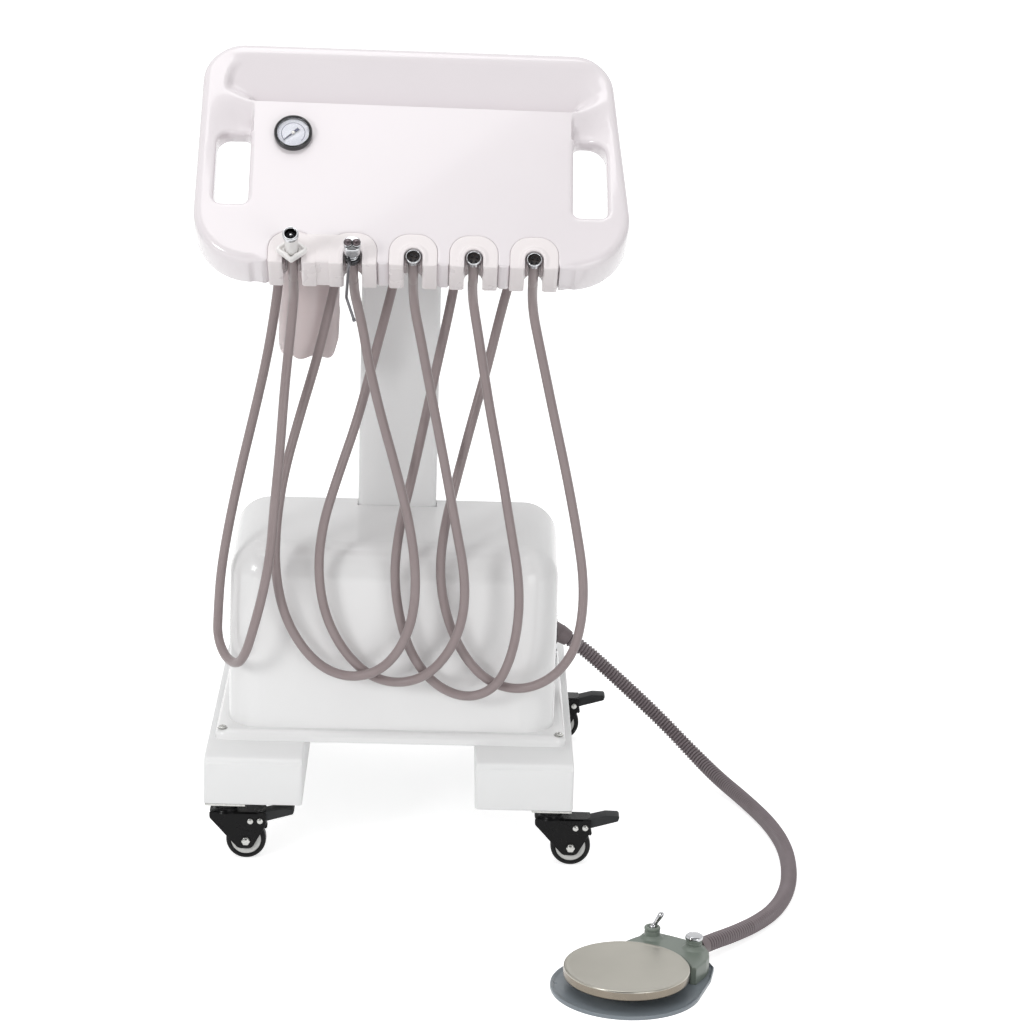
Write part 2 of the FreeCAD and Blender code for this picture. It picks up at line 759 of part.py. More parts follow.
SCREWS = [("screw_inset - cover_half_width", "screw_inset - cover_front"),
          ("cover_half_width - screw_inset", "screw_inset - cover_front"),
          ("screw_inset - cover_half_width", "cover_back - screw_inset"),
          ("cover_half_width - screw_inset", "cover_back - screw_inset")]


def make_cover_screws():
    """Pan-head screws in the corners of the rim."""
    solids = []
    for i, (x, y) in enumerate(SCREWS, 1):
        head = rod("cover_screw_head_%d" % i, "screw_radius", "screw_height", x, y,
                   "%s + cover_lip" % FOOT_TOP)
        head = rounded("cover_screw_dome_%d" % i, head, "screw_height*0.6",
                       lambda b: near(b.ZMin, value("%s + cover_lip + screw_height" % FOOT_TOP)))
        shank = rod("cover_screw_shank_%d" % i, "screw_shank_radius", "cover_lip", x, y, FOOT_TOP)
        solids.append(fuse("cover_screw_%d" % i, head, shank))
    keep("cover_screws", group("cover_screws", *solids))


FAN_SIDES = {"left": ("-1", "180"), "right": ("1", "0")}


def set_fan(item, side, reach):
    """Set a fan piece, drawn facing +X about its own axis, at one side of the cover."""
    sign, turn = FAN_SIDES[side]
    return place(item, "%s*(%s)" % (sign, reach), "fan_y", "fan_z", Z_AXIS, turn)


def make_fan_frame(side):
    """A square duct with a spider at its inner end that carries the spindle."""
    name = "fan_frame_" + side
    case = box(name + "_case", "fan_depth", "fan_square", "fan_square", "-fan_depth", "-fan_square/2",
               "-fan_square/2")
    duct = rod(name + "_duct", "fan_duct_radius", "2*fan_depth", "-1.5*fan_depth", 0, 0, "X")
    shell = cut(name + "_shell", case, duct)
    hub = rod(name + "_hub", "fan_hub_radius", "fan_spider", "-fan_depth", 0, 0, "X")
    arms = [box(name + "_arm_flat", "fan_spider", "2*fan_duct_radius + 2", "fan_spider",
                "-fan_depth", "-fan_duct_radius - 1", "-fan_spider/2"),
            box(name + "_arm_up", "fan_spider", "fan_spider", "2*fan_duct_radius + 2",
                "-fan_depth", "-fan_spider/2", "-fan_duct_radius - 1")]
    spindle = rod(name + "_spindle", "fan_spindle_radius", "fan_depth - fan_spider", "-fan_depth",
                  0, 0, "X")
    return set_fan(fuse(name, shell, hub, *arms, spindle), side, "%s - cover_wall" % DOME_HALF)


def make_rotor(side):
    """A fan rotor: a hub cup with seven flat blades set at an angle."""
    name = "fan_rotor_" + side
    start = "(fan_spider + turn_gap - fan_depth)"
    depth = "(fan_depth - fan_spider - turn_gap - 3)"
    hub = rod(name + "_hub", "fan_hub_radius", depth, start, 0, 0, "X")
    chord = "(%s - fan_blade_root)" % depth
    blades = []
    for i in range(7):
        blade = box("%s_blade_%d" % (name, i), chord, "fan_blade_thick",
                    "fan_blade_radius - fan_blade_root")
        place(blade, "%s + %s/2 - %s/2*cos(fan_blade_pitch) + fan_blade_thick/2*sin(fan_blade_pitch)"
              % (start, depth, chord),
              "-%s/2*sin(fan_blade_pitch) - fan_blade_thick/2*cos(fan_blade_pitch)" % chord,
              "fan_blade_root", Z_AXIS, "fan_blade_pitch")
        blades.append(place(group("%s_set_%d" % (name, i), blade), 0, 0, 0, X_AXIS, "%g" % (360.0 * i / 7)))
    bore = rod(name + "_bore", "fan_spindle_radius + bore_gap", "2*fan_depth", "-1.5*fan_depth",
               0, 0, "X")
    keep(name, set_fan(cut(name, fuse(name + "_solid", hub, *blades), bore), side,
                       "%s - cover_wall" % DOME_HALF))


def make_guard(side):
    """A stamped guard outside the vent: flat rings on two crossed bars that reach the cover."""
    name = "fan_guard_" + side
    parts = []
    for i in range(int(value("guard_rings"))):
        middle = "guard_radius*%d/guard_rings" % (i + 1)
        parts.append(cut("%s_ring_%d" % (name, i),
                         rod("%s_disc_%d" % (name, i), middle + " + guard_wire/2", "guard_wire",
                             0, 0, 0, "X"),
                         rod("%s_hole_%d" % (name, i), middle + " - guard_wire/2", "4*guard_wire",
                             "-guard_wire", 0, 0, "X")))
    parts.append(box(name + "_bar_flat", "guard_wire", "2*guard_radius", "guard_wire", 0,
                     "-guard_radius", "-guard_wire/2"))
    parts.append(box(name + "_bar_up", "guard_wire", "guard_wire", "2*guard_radius", 0,
                     "-guard_wire/2", "-guard_radius"))
    return set_fan(fuse(name, *parts), side, DOME_HALF)


def make_fans():
    """Both fans: frames and guards as pairs, rotors one by one."""
    keep("fan_frames", group("fan_frames", *[make_fan_frame(side) for side in FAN_SIDES]))
    keep("fan_guards", group("fan_guards", *[make_guard(side) for side in FAN_SIDES]))
    for side in FAN_SIDES:
        make_rotor(side)


# ---------------------------------------------------------------- column and bracket


def make_column():
    """A rectangular tube, closed on top, welded to a flange on the base plate."""
    tube = slab("column_tube", "column_width", "column_depth", "column_top - %s" % FOOT_TOP,
                0, "column_y", FOOT_TOP)
    tube = rounded("column_tube_round", tube, "column_corner", upright)
    flange = slab("column_flange", "column_width + 2*column_flange", "column_depth + 2*column_flange",
                  "column_flange_thick", 0, "column_y", FOOT_TOP)
    hollow = slab("column_hollow", "column_width - 2*column_wall", "column_depth - 2*column_wall",
                  "column_top - %s - column_wall" % FOOT_TOP, 0, "column_y", FOOT_TOP)
    keep("column", cut("column", fuse("column_solid", tube, flange), hollow))


def deck_point(v, w):
    """Formulas for Y and Z of a point of the console's middle section."""
    return ("deck_y + (%s)*cos(deck_tilt) - (%s)*sin(deck_tilt)" % (v, w),
            "%s + (%s)*sin(deck_tilt) + (%s)*cos(deck_tilt)" % (DECK_Z, v, w))


def make_bracket():
    """A welded box from the column's front to the underside of the console, open at the back."""
    under = "-(deck_thick + closing_thick)"
    front = "(column_y - column_depth/2)"
    body = new_body("console_bracket")
    outer = outline(body, "bracket_side", "YZ_Plane", [
        (front, "column_top - bracket_drop"), (front, "column_top"),
        deck_point("bracket_high_v", under), deck_point("bracket_low_v", under)])
    pad(body, "bracket_pad", outer, "bracket_width", middle=True)
    inner = outline(body, "bracket_hollow_side", "YZ_Plane", [
        (front, "column_top - bracket_drop + 4*bracket_wall"), (front, "column_top - 2*bracket_wall"),
        deck_point("bracket_high_v - 3*bracket_wall", under + " - bracket_wall"),
        deck_point("bracket_low_v + 3*bracket_wall", under + " - bracket_wall")])
    pocket(body, "bracket_hollow", inner, "bracket_width - 2*bracket_wall", middle=True)
    keep("console_bracket", body)


# ---------------------------------------------------------------- console


def holder_u(number):
    """Formula for the place across the console of holder 1 to 5."""
    return "(holder_mid + holder_pitch*%d)" % (number - 3)


WEB_WIDTH = "(holder_pitch - 2*holder_half)"
WEB_LEFT = "(%s + holder_half)" % holder_u(1)
WEB_BACK = "(holder_half - deck_front - holder_proud)"


def arch(name, half, front, low, high):
    """A block with a round back end, the plan of a holder, about the holder's own axis."""
    block = box(name + "_block", "2*(%s)" % half, front, "(%s) - (%s)" % (high, low),
                "-(%s)" % half, "-(%s)" % front, low)
    back = rod(name + "_back", half, "(%s) - (%s)" % (high, low), 0, 0, low)
    return fuse(name, block, back)


def make_console_shell():
    """The console's moulding: deck, tool tray, hand grips, and a hollow closed from below."""
    body = new_body("console_moulding")
    plan = outline(body, "deck_plan", "XY_Plane", [
        ("-deck_left_front", "-deck_front"), ("deck_right_front", "-deck_front"),
        ("deck_right_back", "deck_back - deck_skew"), ("-deck_left_back", "deck_back")])
    pad(body, "deck_pad", plan, "deck_thick", reverse=True)
    soften(body, "deck_front_corners", "deck_front_round",
           lambda b: upright(b) and b.YMin < 0)
    soften(body, "deck_back_corners", "deck_back_round",
           lambda b: upright(b) and b.YMin > 0)
    soften(body, "deck_edge", "deck_edge_round",
           lambda b: near(b.ZMin, 0) and b.ZLength < 1e-4)
    tray = outline(body, "tray_side", "YZ_Plane", [
        ("tray_front - deck_skew/2", "0"), ("tray_front - deck_skew/2", "-tray_depth"),
        ("tray_back - deck_skew/2", "0")])
    pocket(body, "tray_pocket", tray, "2*tray_half", middle=True)
    for side, sign in (("left", "-"), ("right", "")):
        sink = outline(body, "sink_plan_" + side, "XY_Plane", [
            (sign + "grip_sink_in", "-grip_sink_front"), (sign + "grip_sink_out", "-grip_sink_front"),
            (sign + "grip_sink_out", "tray_front - deck_skew"),
            (sign + "grip_sink_in", "tray_front - deck_skew")])
        pocket(body, "sink_pocket_" + side, sink, "grip_sink")
        slot = outline(body, "grip_plan_" + side, "XY_Plane", [
            (sign + "grip_in", "-grip_front"), (sign + "grip_out", "-grip_front"),
            (sign + "grip_out", "grip_back"), (sign + "grip_in", "grip_back")])
        pocket(body, "grip_slot_" + side, slot, "2*deck_thick")
        under = outline(body, "under_plan_" + side, "XY_Plane", [
            (sign + "grip_under_in", "-grip_under_front"), (sign + "2*deck_right_front", "-grip_under_front"),
            (sign + "2*deck_right_front", "2*deck_back"), (sign + "grip_under_in", "2*deck_back")],
            "-grip_thick")
        pocket(body, "under_pocket_" + side, under, "deck_thick")
    hollow = outline(body, "cavity_plan", "XY_Plane", [
        ("-cavity_half", "-cavity_front"), ("cavity_half", "-cavity_front"),
        ("cavity_half", "cavity_back"), ("-cavity_half", "cavity_back")], "-deck_wall")
    pocket(body, "cavity_pocket", hollow, "deck_thick")
    grips = value("grip_in"), value("grip_out")
    soften(body, "grip_corners", "grip_round",
           lambda b: upright(b) and any(near(abs(b.XMin), edge) for edge in grips)
           and b.YMin > -value("grip_front") - 1 and b.YMin < value("grip_back") + 1
           and b.ZMax > -value("grip_thick"))
    on_console(body)
    cuts = []
    for i in range(1, 6):
        cuts.append(on_console(arch("holder_cut_%d" % i, "holder_half", "2*holder_half",
                                    "-2*deck_thick", "2*deck_thick"), holder_u(i), "-holder_v"))
    cuts.append(on_console(box("web_cut", WEB_WIDTH, "2*holder_half", "4*deck_thick"), WEB_LEFT,
                           "%s - 2*holder_half" % WEB_BACK, "-2*deck_thick"))
    cuts.append(on_console(rod("gauge_hole", "gauge_case_radius", "4*deck_wall"), "gauge_u", "gauge_v",
                           "-2*deck_wall"))
    keep("console_shell", cut("console_shell", body, fuse("console_cuts", *cuts)))


def make_holders():
    """Five arched holders with open notches; a plain web fills the gap between the first two."""
    solids = []
    reach = "(deck_front + holder_proud - holder_v)"
    for i in range(1, 6):
        name = "holder_%d" % i
        block = arch(name + "_block", "holder_half", reach, "-deck_thick", "holder_raise")
        collar = rod(name + "_collar", "collar_radius", "collar_height + 1", 0, 0, "holder_raise - 1")
        front_cut = box(name + "_front_cut", "4*holder_half", "2*holder_half", "4*deck_thick",
                        "-2*holder_half", "-2*holder_half - %s" % reach, "-2*deck_thick")
        notch = fuse(name + "_notch",
                     rod(name + "_notch_back", "notch_radius", "3*deck_thick", 0, 0, "-2*deck_thick"),
                     box(name + "_notch_front", "2*notch_radius", "2*holder_half", "3*deck_thick",
                         "-notch_radius", "-2*holder_half", "-2*deck_thick"))
        open_block = cut(name + "_open", fuse(name + "_solid", block, collar), notch, front_cut)
        lip = cut(name + "_lip",
                  arch(name + "_lip_block", "notch_radius + 1", reach,
                       "-seat_depth - seat_thick", "-seat_depth"),
                  rod(name + "_lip_bore", "seat_radius", "4*seat_depth", 0, 0, "-3*seat_depth"),
                  box(name + "_lip_front", "2*seat_radius", "2*holder_half", "4*seat_depth",
                      "-seat_radius", "-2*holder_half", "-3*seat_depth"))
        solids.append(on_console(fuse(name, open_block, lip), holder_u(i), "-holder_v"))
    web = on_console(box("holder_web", WEB_WIDTH, "holder_half", "deck_thick"), WEB_LEFT,
                     "%s - holder_half" % WEB_BACK, "-deck_thick")
    keep("holders", group("holders", *solids, web))


def make_closing_plate():
    """The plate that closes the console's hollow and carries the hose glands."""
    plate = box("console_base", "2*cavity_half + 2*closing_lip",
                "cavity_front + cavity_back + 2*closing_lip", "closing_thick")
    keep("console_base", on_console(plate, "-cavity_half - closing_lip", "-cavity_front - closing_lip",
                                    "-deck_thick - closing_thick"))


def make_gauge():
    """A pressure gauge let into the deck: case, dial with its pin, glass, and needle."""
    case = turned("gauge_case", [
        ("0", "-gauge_case_depth"), ("gauge_case_radius", "-gauge_case_depth"),
        ("gauge_case_radius", "0"), ("gauge_radius", "0"),
        ("gauge_radius", "gauge_height - gauge_bevel"), ("gauge_radius - gauge_bevel", "gauge_height"),
        ("gauge_glass_radius", "gauge_height"),
        ("gauge_glass_radius", "gauge_glass_seat"),
        ("gauge_ledge_radius", "gauge_glass_seat"), ("gauge_ledge_radius", "gauge_floor"),
        ("0", "gauge_floor")])
    keep("gauge_case", on_console(case, "gauge_u", "gauge_v"))
    face = rod("gauge_face", "gauge_ledge_radius", "dial_thick", 0, 0, "gauge_floor")
    pin = rod("gauge_pin", "needle_pin_radius", "needle_height + 2*needle_thick - gauge_floor", 0, 0,
              "gauge_floor")
    keep("gauge_dial", on_console(fuse("gauge_dial", face, pin), "gauge_u", "gauge_v"))
    keep("gauge_glass", on_console(rod("gauge_glass", "gauge_glass_radius", "gauge_glass_thick"),
                                   "gauge_u", "gauge_v", "gauge_glass_seat"))
    body = new_body("needle_blank")
    plan = outline(body, "needle_plan", "XY_Plane", [
        ("-needle_tail", "-needle_width"), ("-needle_tail", "needle_width"), ("0", "needle_width/2"),
        ("needle_length", "0.2"), ("needle_length", "-0.2"), ("0", "-needle_width/2")], "needle_height")
    pad(body, "needle_pad", plan, "needle_thick")
    body.Placement.Rotation = Rotation(Z_AXIS, 10)
    body.setExpression("Placement.Rotation.Angle", formula("needle_angle"))
    hub = rod("needle_hub", "needle_hub_radius", "needle_thick", 0, 0, "needle_height")
    bore = rod("needle_bore", "needle_pin_radius + bore_gap", "4*needle_height", 0, 0, "-needle_height")
    keep("gauge_needle", on_console(cut("gauge_needle", fuse("needle_solid", body, hub), bore),
                                    "gauge_u", "gauge_v"))


# ---------------------------------------------------------------- instruments


def instrument_head(top):
    """The turned shape that every instrument shares: a shank through the seat and a head on it."""
    return [("0", "-shank_end"), ("shank_radius - shank_taper", "-shank_end"),
            ("shank_radius", "shank_taper_length - shank_end"), ("shank_radius", "turn_gap - seat_depth"),
            ("head_radius", "turn_gap - seat_depth"), ("head_radius", top)]


def make_couplers():
    """Three handpiece couplers: a dark face with four ports inside a plated ring."""
    for number in (3, 4, 5):
        name = "coupler_%d" % number
        body = turned(name + "_turned", instrument_head("head_top") + [
            ("coupler_socket_radius", "head_top"),
            ("coupler_socket_radius", "head_top - coupler_socket_depth"),
            ("0", "head_top - coupler_socket_depth")])
        ports = []
        for i, (dx, dy) in enumerate(((1, 0), (0, 1), (-1, 0), (0, -1))):
            ports.append(rod("%s_port_%d" % (name, i), "coupler_port_radius", "2*coupler_port_depth",
                             "coupler_port_ring*%d" % dx, "coupler_port_ring*%d" % dy,
                             "head_top - coupler_port_depth"))
        keep(name, on_console(cut(name, body, *ports), holder_u(number), "-holder_v"))


def make_suction():
    """The suction handpiece with its metal mouth, and the valve ring that turns on it."""
    body = turned("suction_turned", instrument_head("suction_valve_seat") + [
        ("suction_tube_radius", "suction_valve_seat"), ("suction_tube_radius", "suction_top"),
        ("suction_tip_radius", "suction_top"), ("suction_tip_radius", "suction_top + suction_tip_length"),
        ("suction_tip_bore", "suction_top + suction_tip_length"),
        ("suction_tip_bore", "suction_top - suction_bore_depth"),
        ("0", "suction_top - suction_bore_depth")])
    keep("suction_handpiece", on_console(body, holder_u(1), "-holder_v"))
    ring = new_body("suction_ring")
    wide = "suction_valve_radius"
    plan = outline(ring, "suction_ring_plan", "XY_Plane", [
        ("-%s - suction_valve_ear" % wide, "0"), ("0", "-%s" % wide),
        ("%s + suction_valve_ear" % wide, "0"), ("0", wide)],
        "suction_valve_seat + turn_gap")
    pad(ring, "suction_ring_pad", plan, "suction_valve_length")
    bore = rod("suction_ring_bore", "suction_tube_radius + bore_gap", "4*suction_top", 0, 0,
               "-suction_top")
    keep("suction_valve", on_console(cut("suction_valve", ring, bore), holder_u(1), "-holder_v"))


def make_syringe():
    """The three-way syringe: body with a flat head, bent nozzle and two sprung buttons."""
    stem = turned("syringe_stem", instrument_head("syringe_head_start + 1")
                  + [("0", "syringe_head_start + 1")])
    head = slab("syringe_block", "syringe_head_width", "syringe_head_depth",
                "syringe_top - syringe_head_start", 0, 0, "syringe_head_start")
    head = rounded("syringe_block_round", head, "syringe_head_round", upright)
    wells = [rod("syringe_well_%d" % i, "button_radius + bore_gap", "2*button_sunk",
                 "%d*button_spacing/2" % side, 0, "syringe_top - button_sunk")
             for i, side in enumerate((-1, 1))]
    outlet = box("syringe_outlet", "2*outlet_half", "nozzle_forward", "outlet_height",
                 "-nozzle_side - outlet_half", "-nozzle_forward", "head_top + outlet_rise")
    keep("syringe_body", on_console(
        cut("syringe_body", fuse("syringe_solid", stem, head, outlet), *wells), holder_u(2), "-holder_v"))
    start = Vector(value("-nozzle_side"), value("-nozzle_forward"),
                   value("head_top + outlet_rise"))
    low = start - Vector(value("nozzle_lean"), value("nozzle_lean"), value("nozzle_drop"))
    end = low + Vector(value("nozzle_tail_side"), -value("nozzle_tail_forward"),
                       -value("nozzle_tail_drop"))
    tube = hose_solid([start, low, end], value("nozzle_radius"))[0]
    nozzle = doc.addObject("Part::Feature", "syringe_nozzle")
    nozzle.Shape = tube
    keep("syringe_nozzle", on_console(nozzle, holder_u(2), "-holder_v"))
    for tag, side in (("water", -1), ("air", 1)):
        name = tag + "_button"
        height = "(button_sunk - button_travel + button_height)"
        button = rod(name + "_rod", "button_radius", height)
        doc.recompute()
        tip = value(height)
        button = rounded(name, button, "button_radius*0.6",
                         lambda b: near(b.ZMin, tip) and b.ZLength < 1e-4)
        keep(name, on_console(button, "%s + %d*button_spacing/2" % (holder_u(2), side), "-holder_v",
                              "syringe_top - button_sunk + button_travel"))


# ---------------------------------------------------------------- bottle


def make_bottle():
    """A blown bottle hung by its neck: wavy foot left plain, straight wall, shoulder and neck."""
    r, wall = "bottle_radius", "bottle_wall"
    body = turned("bottle_turned", [
        ("0", "bottle_foot*0.6"), ("bottle_radius*0.35", "bottle_foot*0.4"), ("bottle_radius*0.62", "0"),
        ("bottle_radius*0.8", "1.5"), ("bottle_radius*0.94", "bottle_foot*0.8"), (r, "bottle_foot*2"),
        (r, "bottle_shoulder"), ("bottle_radius*0.93", "bottle_shoulder + 14"),
        ("bottle_radius*0.7", "bottle_shoulder + 32"),
        ("bottle_neck_radius", "bottle_height - bottle_neck_height"),
        ("bottle_neck_radius", "bottle_height"),
        ("bottle_neck_radius - 2*%s" % wall, "bottle_height"),
        ("bottle_neck_radius - 2*%s" % wall, "bottle_height - bottle_neck_height"),
        ("bottle_radius*0.7 - %s" % wall, "bottle_shoulder + 32 - %s" % wall),
        ("bottle_radius*0.93 - %s" % wall, "bottle_shoulder + 14 - %s" % wall),
        ("%s - %s" % (r, wall), "bottle_shoulder - %s" % wall), ("%s - %s" % (r, wall), "bottle_foot*2"),
        ("bottle_radius*0.94 - %s" % wall, "bottle_foot*0.8 + %s" % wall),
        ("bottle_radius*0.62", "1.5*%s" % wall), ("bottle_radius*0.35", "bottle_foot*0.4 + %s" % wall),
        ("0", "bottle_foot*0.6 + %s" % wall)])
    bottom = "(%s - bottle_hang)" % DECK_Z
    keep("water_bottle", place(body, "bottle_x", "bottle_y", bottom))
    neck_top = "(%s + bottle_height)" % bottom
    skirt = rod("cap_skirt_rod", "cap_radius", "cap_skirt + cap_roof", "bottle_x", "bottle_y",
                "%s + turn_gap - cap_skirt" % neck_top)
    thread = rod("cap_thread", "bottle_neck_radius + turn_gap", "cap_skirt", "bottle_x", "bottle_y",
                 "%s + turn_gap - cap_skirt" % neck_top)
    block = slab("cap_block", "cap_block", "cap_block", "3*cap_block", "bottle_x", "bottle_y",
                 "%s + turn_gap + cap_roof" % neck_top)
    above = on_console(box("cap_trim", "4*cavity_half", "8*deck_back", "8*cap_block"),
                       "-2*cavity_half", "-4*deck_back", "-deck_thick - closing_thick")
    cap = cut("cap_body", fuse("cap_solid", skirt, cut("cap_hanger", block, above)), thread)
    tube = rod("pickup_tube", "pickup_radius", "bottle_height + turn_gap - pickup_clear", "bottle_x",
               "bottle_y", "%s + pickup_clear" % bottom)
    keep("bottle_cap", fuse("bottle_cap", cap, tube))


# ---------------------------------------------------------------- hoses


def hose_solid(points, radius):
    """A round tube along straight runs and tangent arcs; gives the tube, its length and its radii."""
    runs = [points[i + 1] - points[i] for i in range(len(points) - 1)]
    edges = []
    radii = []
    start = points[0]
    for i in range(1, len(points) - 1):
        before, after = runs[i - 1], runs[i]
        turn = before.getAngle(after)
        reach = TURN_SHARE * min(before.Length, after.Length)
        bend = reach / math.tan(turn / 2)
        radii.append(bend)
        into = Vector(before).normalize()
        out = Vector(after).normalize()
        enter = points[i] - into * reach
        leave = points[i] + out * reach
        inward = (out - into).normalize()
        centre = points[i] + inward * (bend / math.cos(turn / 2))
        middle = centre - inward * bend
        edges.append(Part.LineSegment(start, enter).toShape())
        edges.append(Part.Arc(enter, middle, leave).toShape())
        start = leave
    edges.append(Part.LineSegment(start, points[-1]).toShape())
    path = Part.Wire(edges)
    circle = Part.Wire([Part.Circle(points[0], runs[0], radius).toShape()])
    return path.makePipeShell([circle], True, False), path.Length, radii


def make_hose(name, points, diameter):
    """A hose as a solid of its own, with its radii and volume printed."""
    tube, length, radii = hose_solid([Vector(*point) for point in points], diameter / 2)
    item = doc.addObject("Part::Feature", name)
    item.Shape = tube
    ideal = math.pi * diameter ** 2 / 4 * length
    print("%s length %.0f volume/ideal %.4f tightest %.1f radii %s" % (
        name, length, tube.Volume / ideal, min(radii), " ".join("%.0f" % r for r in radii)))
    keep(name, item)


def make_hoses():
    """The five instrument hoses and the foot hose, with the glands that they leave from."""
    for number, points in enumerate(INSTRUMENT_ROUTES, 1):
        make_hose("instrument_hose_%d" % number, points, value("hose_diameter"))
    make_hose("foot_hose", FOOT_ROUTE, value("foot_hose_diameter"))
    glands = [on_console(rod("hose_gland_%d" % i, "gland_radius", "gland_length"),
                         "%s + gland_shift" % holder_u(i), "gland_v",
                         "-deck_thick - closing_thick - gland_length") for i in range(1, 6)]
    nut = rod("foot_gland_nut", "foot_gland_radius", "foot_gland_length/2", DOME_HALF, "foot_gland_y",
              "foot_gland_z + foot_gland_length/3", "X")
    start = Vector(*FOOT_ROUTE[0])
    way = (Vector(*FOOT_ROUTE[1]) - start).normalize()
    reach = value("2*foot_gland_length")
    elbow = doc.addObject("Part::Feature", "foot_gland_elbow")
    elbow.Shape = Part.makeCylinder(value("foot_hose_diameter/2 + 2"), reach, start - way * reach, way)
    inside = box("foot_gland_inside", "4*cover_ledge", "4*cover_ledge", "4*cover_ledge",
                 "%s - 4*cover_ledge" % DOME_HALF, "foot_gland_y - 2*cover_ledge",
                 "foot_gland_z - 2*cover_ledge")
    glands.append(fuse("foot_hose_gland", nut, cut("foot_gland_open", elbow, inside)))
    keep("hose_glands", group("hose_glands", *glands))


# ---------------------------------------------------------------- compressor

PUMP_FLOOR = "(foot_bottom + foot_height + pump_lift)"
PUMP_AXIS = "(foot_bottom + foot_height + pump_lift + pump_case_height/2)"
PUMP_HALF = "(pump_motor_length/2 + pump_case_length)"
PUMP_ENDS = (("left", "-(pump_motor_length + pump_case_length)/2"),
             ("right", "(pump_motor_length + pump_case_length)/2"))


def make_compressor():
    """An oil-free twin: a motor between two crankcases, finned heads, shaft with end fans, feet."""
    motor = rod("pump_motor", "pump_motor_radius", "pump_motor_length", "-pump_motor_length/2", "pump_y",
                PUMP_AXIS, "X")
    cases = [slab("pump_case_" + side, "pump_case_length", "pump_case_depth", "pump_case_height", x,
                  "pump_y", PUMP_FLOOR) for side, x in PUMP_ENDS]
    bore = rod("pump_bore", "pump_shaft_radius + bore_gap", "4*%s" % PUMP_HALF, "-2*%s" % PUMP_HALF,
               "pump_y", PUMP_AXIS, "X")
    keep("compressor_motor", cut("compressor_motor", fuse("pump_block", motor, *cases), bore))
    heads = []
    top = "(%s + pump_case_height)" % PUMP_FLOOR
    for side, x in PUMP_ENDS:
        barrel = rod("pump_barrel_" + side, "pump_barrel_radius", "pump_barrel_height", x, "pump_y", top)
        head = slab("pump_head_" + side, "pump_head_square", "pump_head_square", "pump_head_height", x,
                    "pump_y", "%s + pump_barrel_height" % top)
        slots = [slab("pump_slot_%s_%d" % (side, i), "pump_fin_gap", "2*pump_head_square",
                      "2*pump_fin_depth", "%s + %d*3*pump_fin_gap" % (x, i), "pump_y",
                      "%s + pump_barrel_height + pump_head_height - pump_fin_depth" % top)
                 for i in (-2, -1, 0, 1, 2)]
        heads.append(cut("pump_cylinder_" + side, fuse("pump_top_" + side, barrel, head), *slots))
    pipe = rod("pump_pipe", "pump_pipe_radius",
               "pump_motor_length + pump_case_length - pump_head_square",
               "-(pump_motor_length + pump_case_length - pump_head_square)/2", "pump_y",
               "%s + pump_barrel_height + pump_head_height/3" % top, "X")
    keep("compressor_heads", fuse("compressor_heads", *heads, pipe))
    shaft = rod("pump_shaft", "pump_shaft_radius", "2*(%s + pump_fan_thick + turn_gap)" % PUMP_HALF,
                "-%s - pump_fan_thick - turn_gap" % PUMP_HALF, "pump_y", PUMP_AXIS, "X")
    fans = [rod("pump_fan_" + side, "pump_fan_radius", "pump_fan_thick", x, "pump_y", PUMP_AXIS, "X")
            for side, x in (("left", "-%s - pump_fan_thick - turn_gap" % PUMP_HALF),
                            ("right", "%s + turn_gap" % PUMP_HALF))]
    keep("compressor_shaft", fuse("compressor_shaft", shaft, *fans))
    feet = [rod("pump_foot_%s_%s" % (side, tag), "pump_foot_radius", "pump_lift",
                x, "pump_y + %s*(pump_case_depth/2 - pump_foot_radius)" % sign, FOOT_TOP)
            for side, x in PUMP_ENDS for tag, sign in (("front", "-1"), ("back", "1"))]
    keep("compressor_feet", group("compressor_feet", *feet))


# ---------------------------------------------------------------- mains inlet


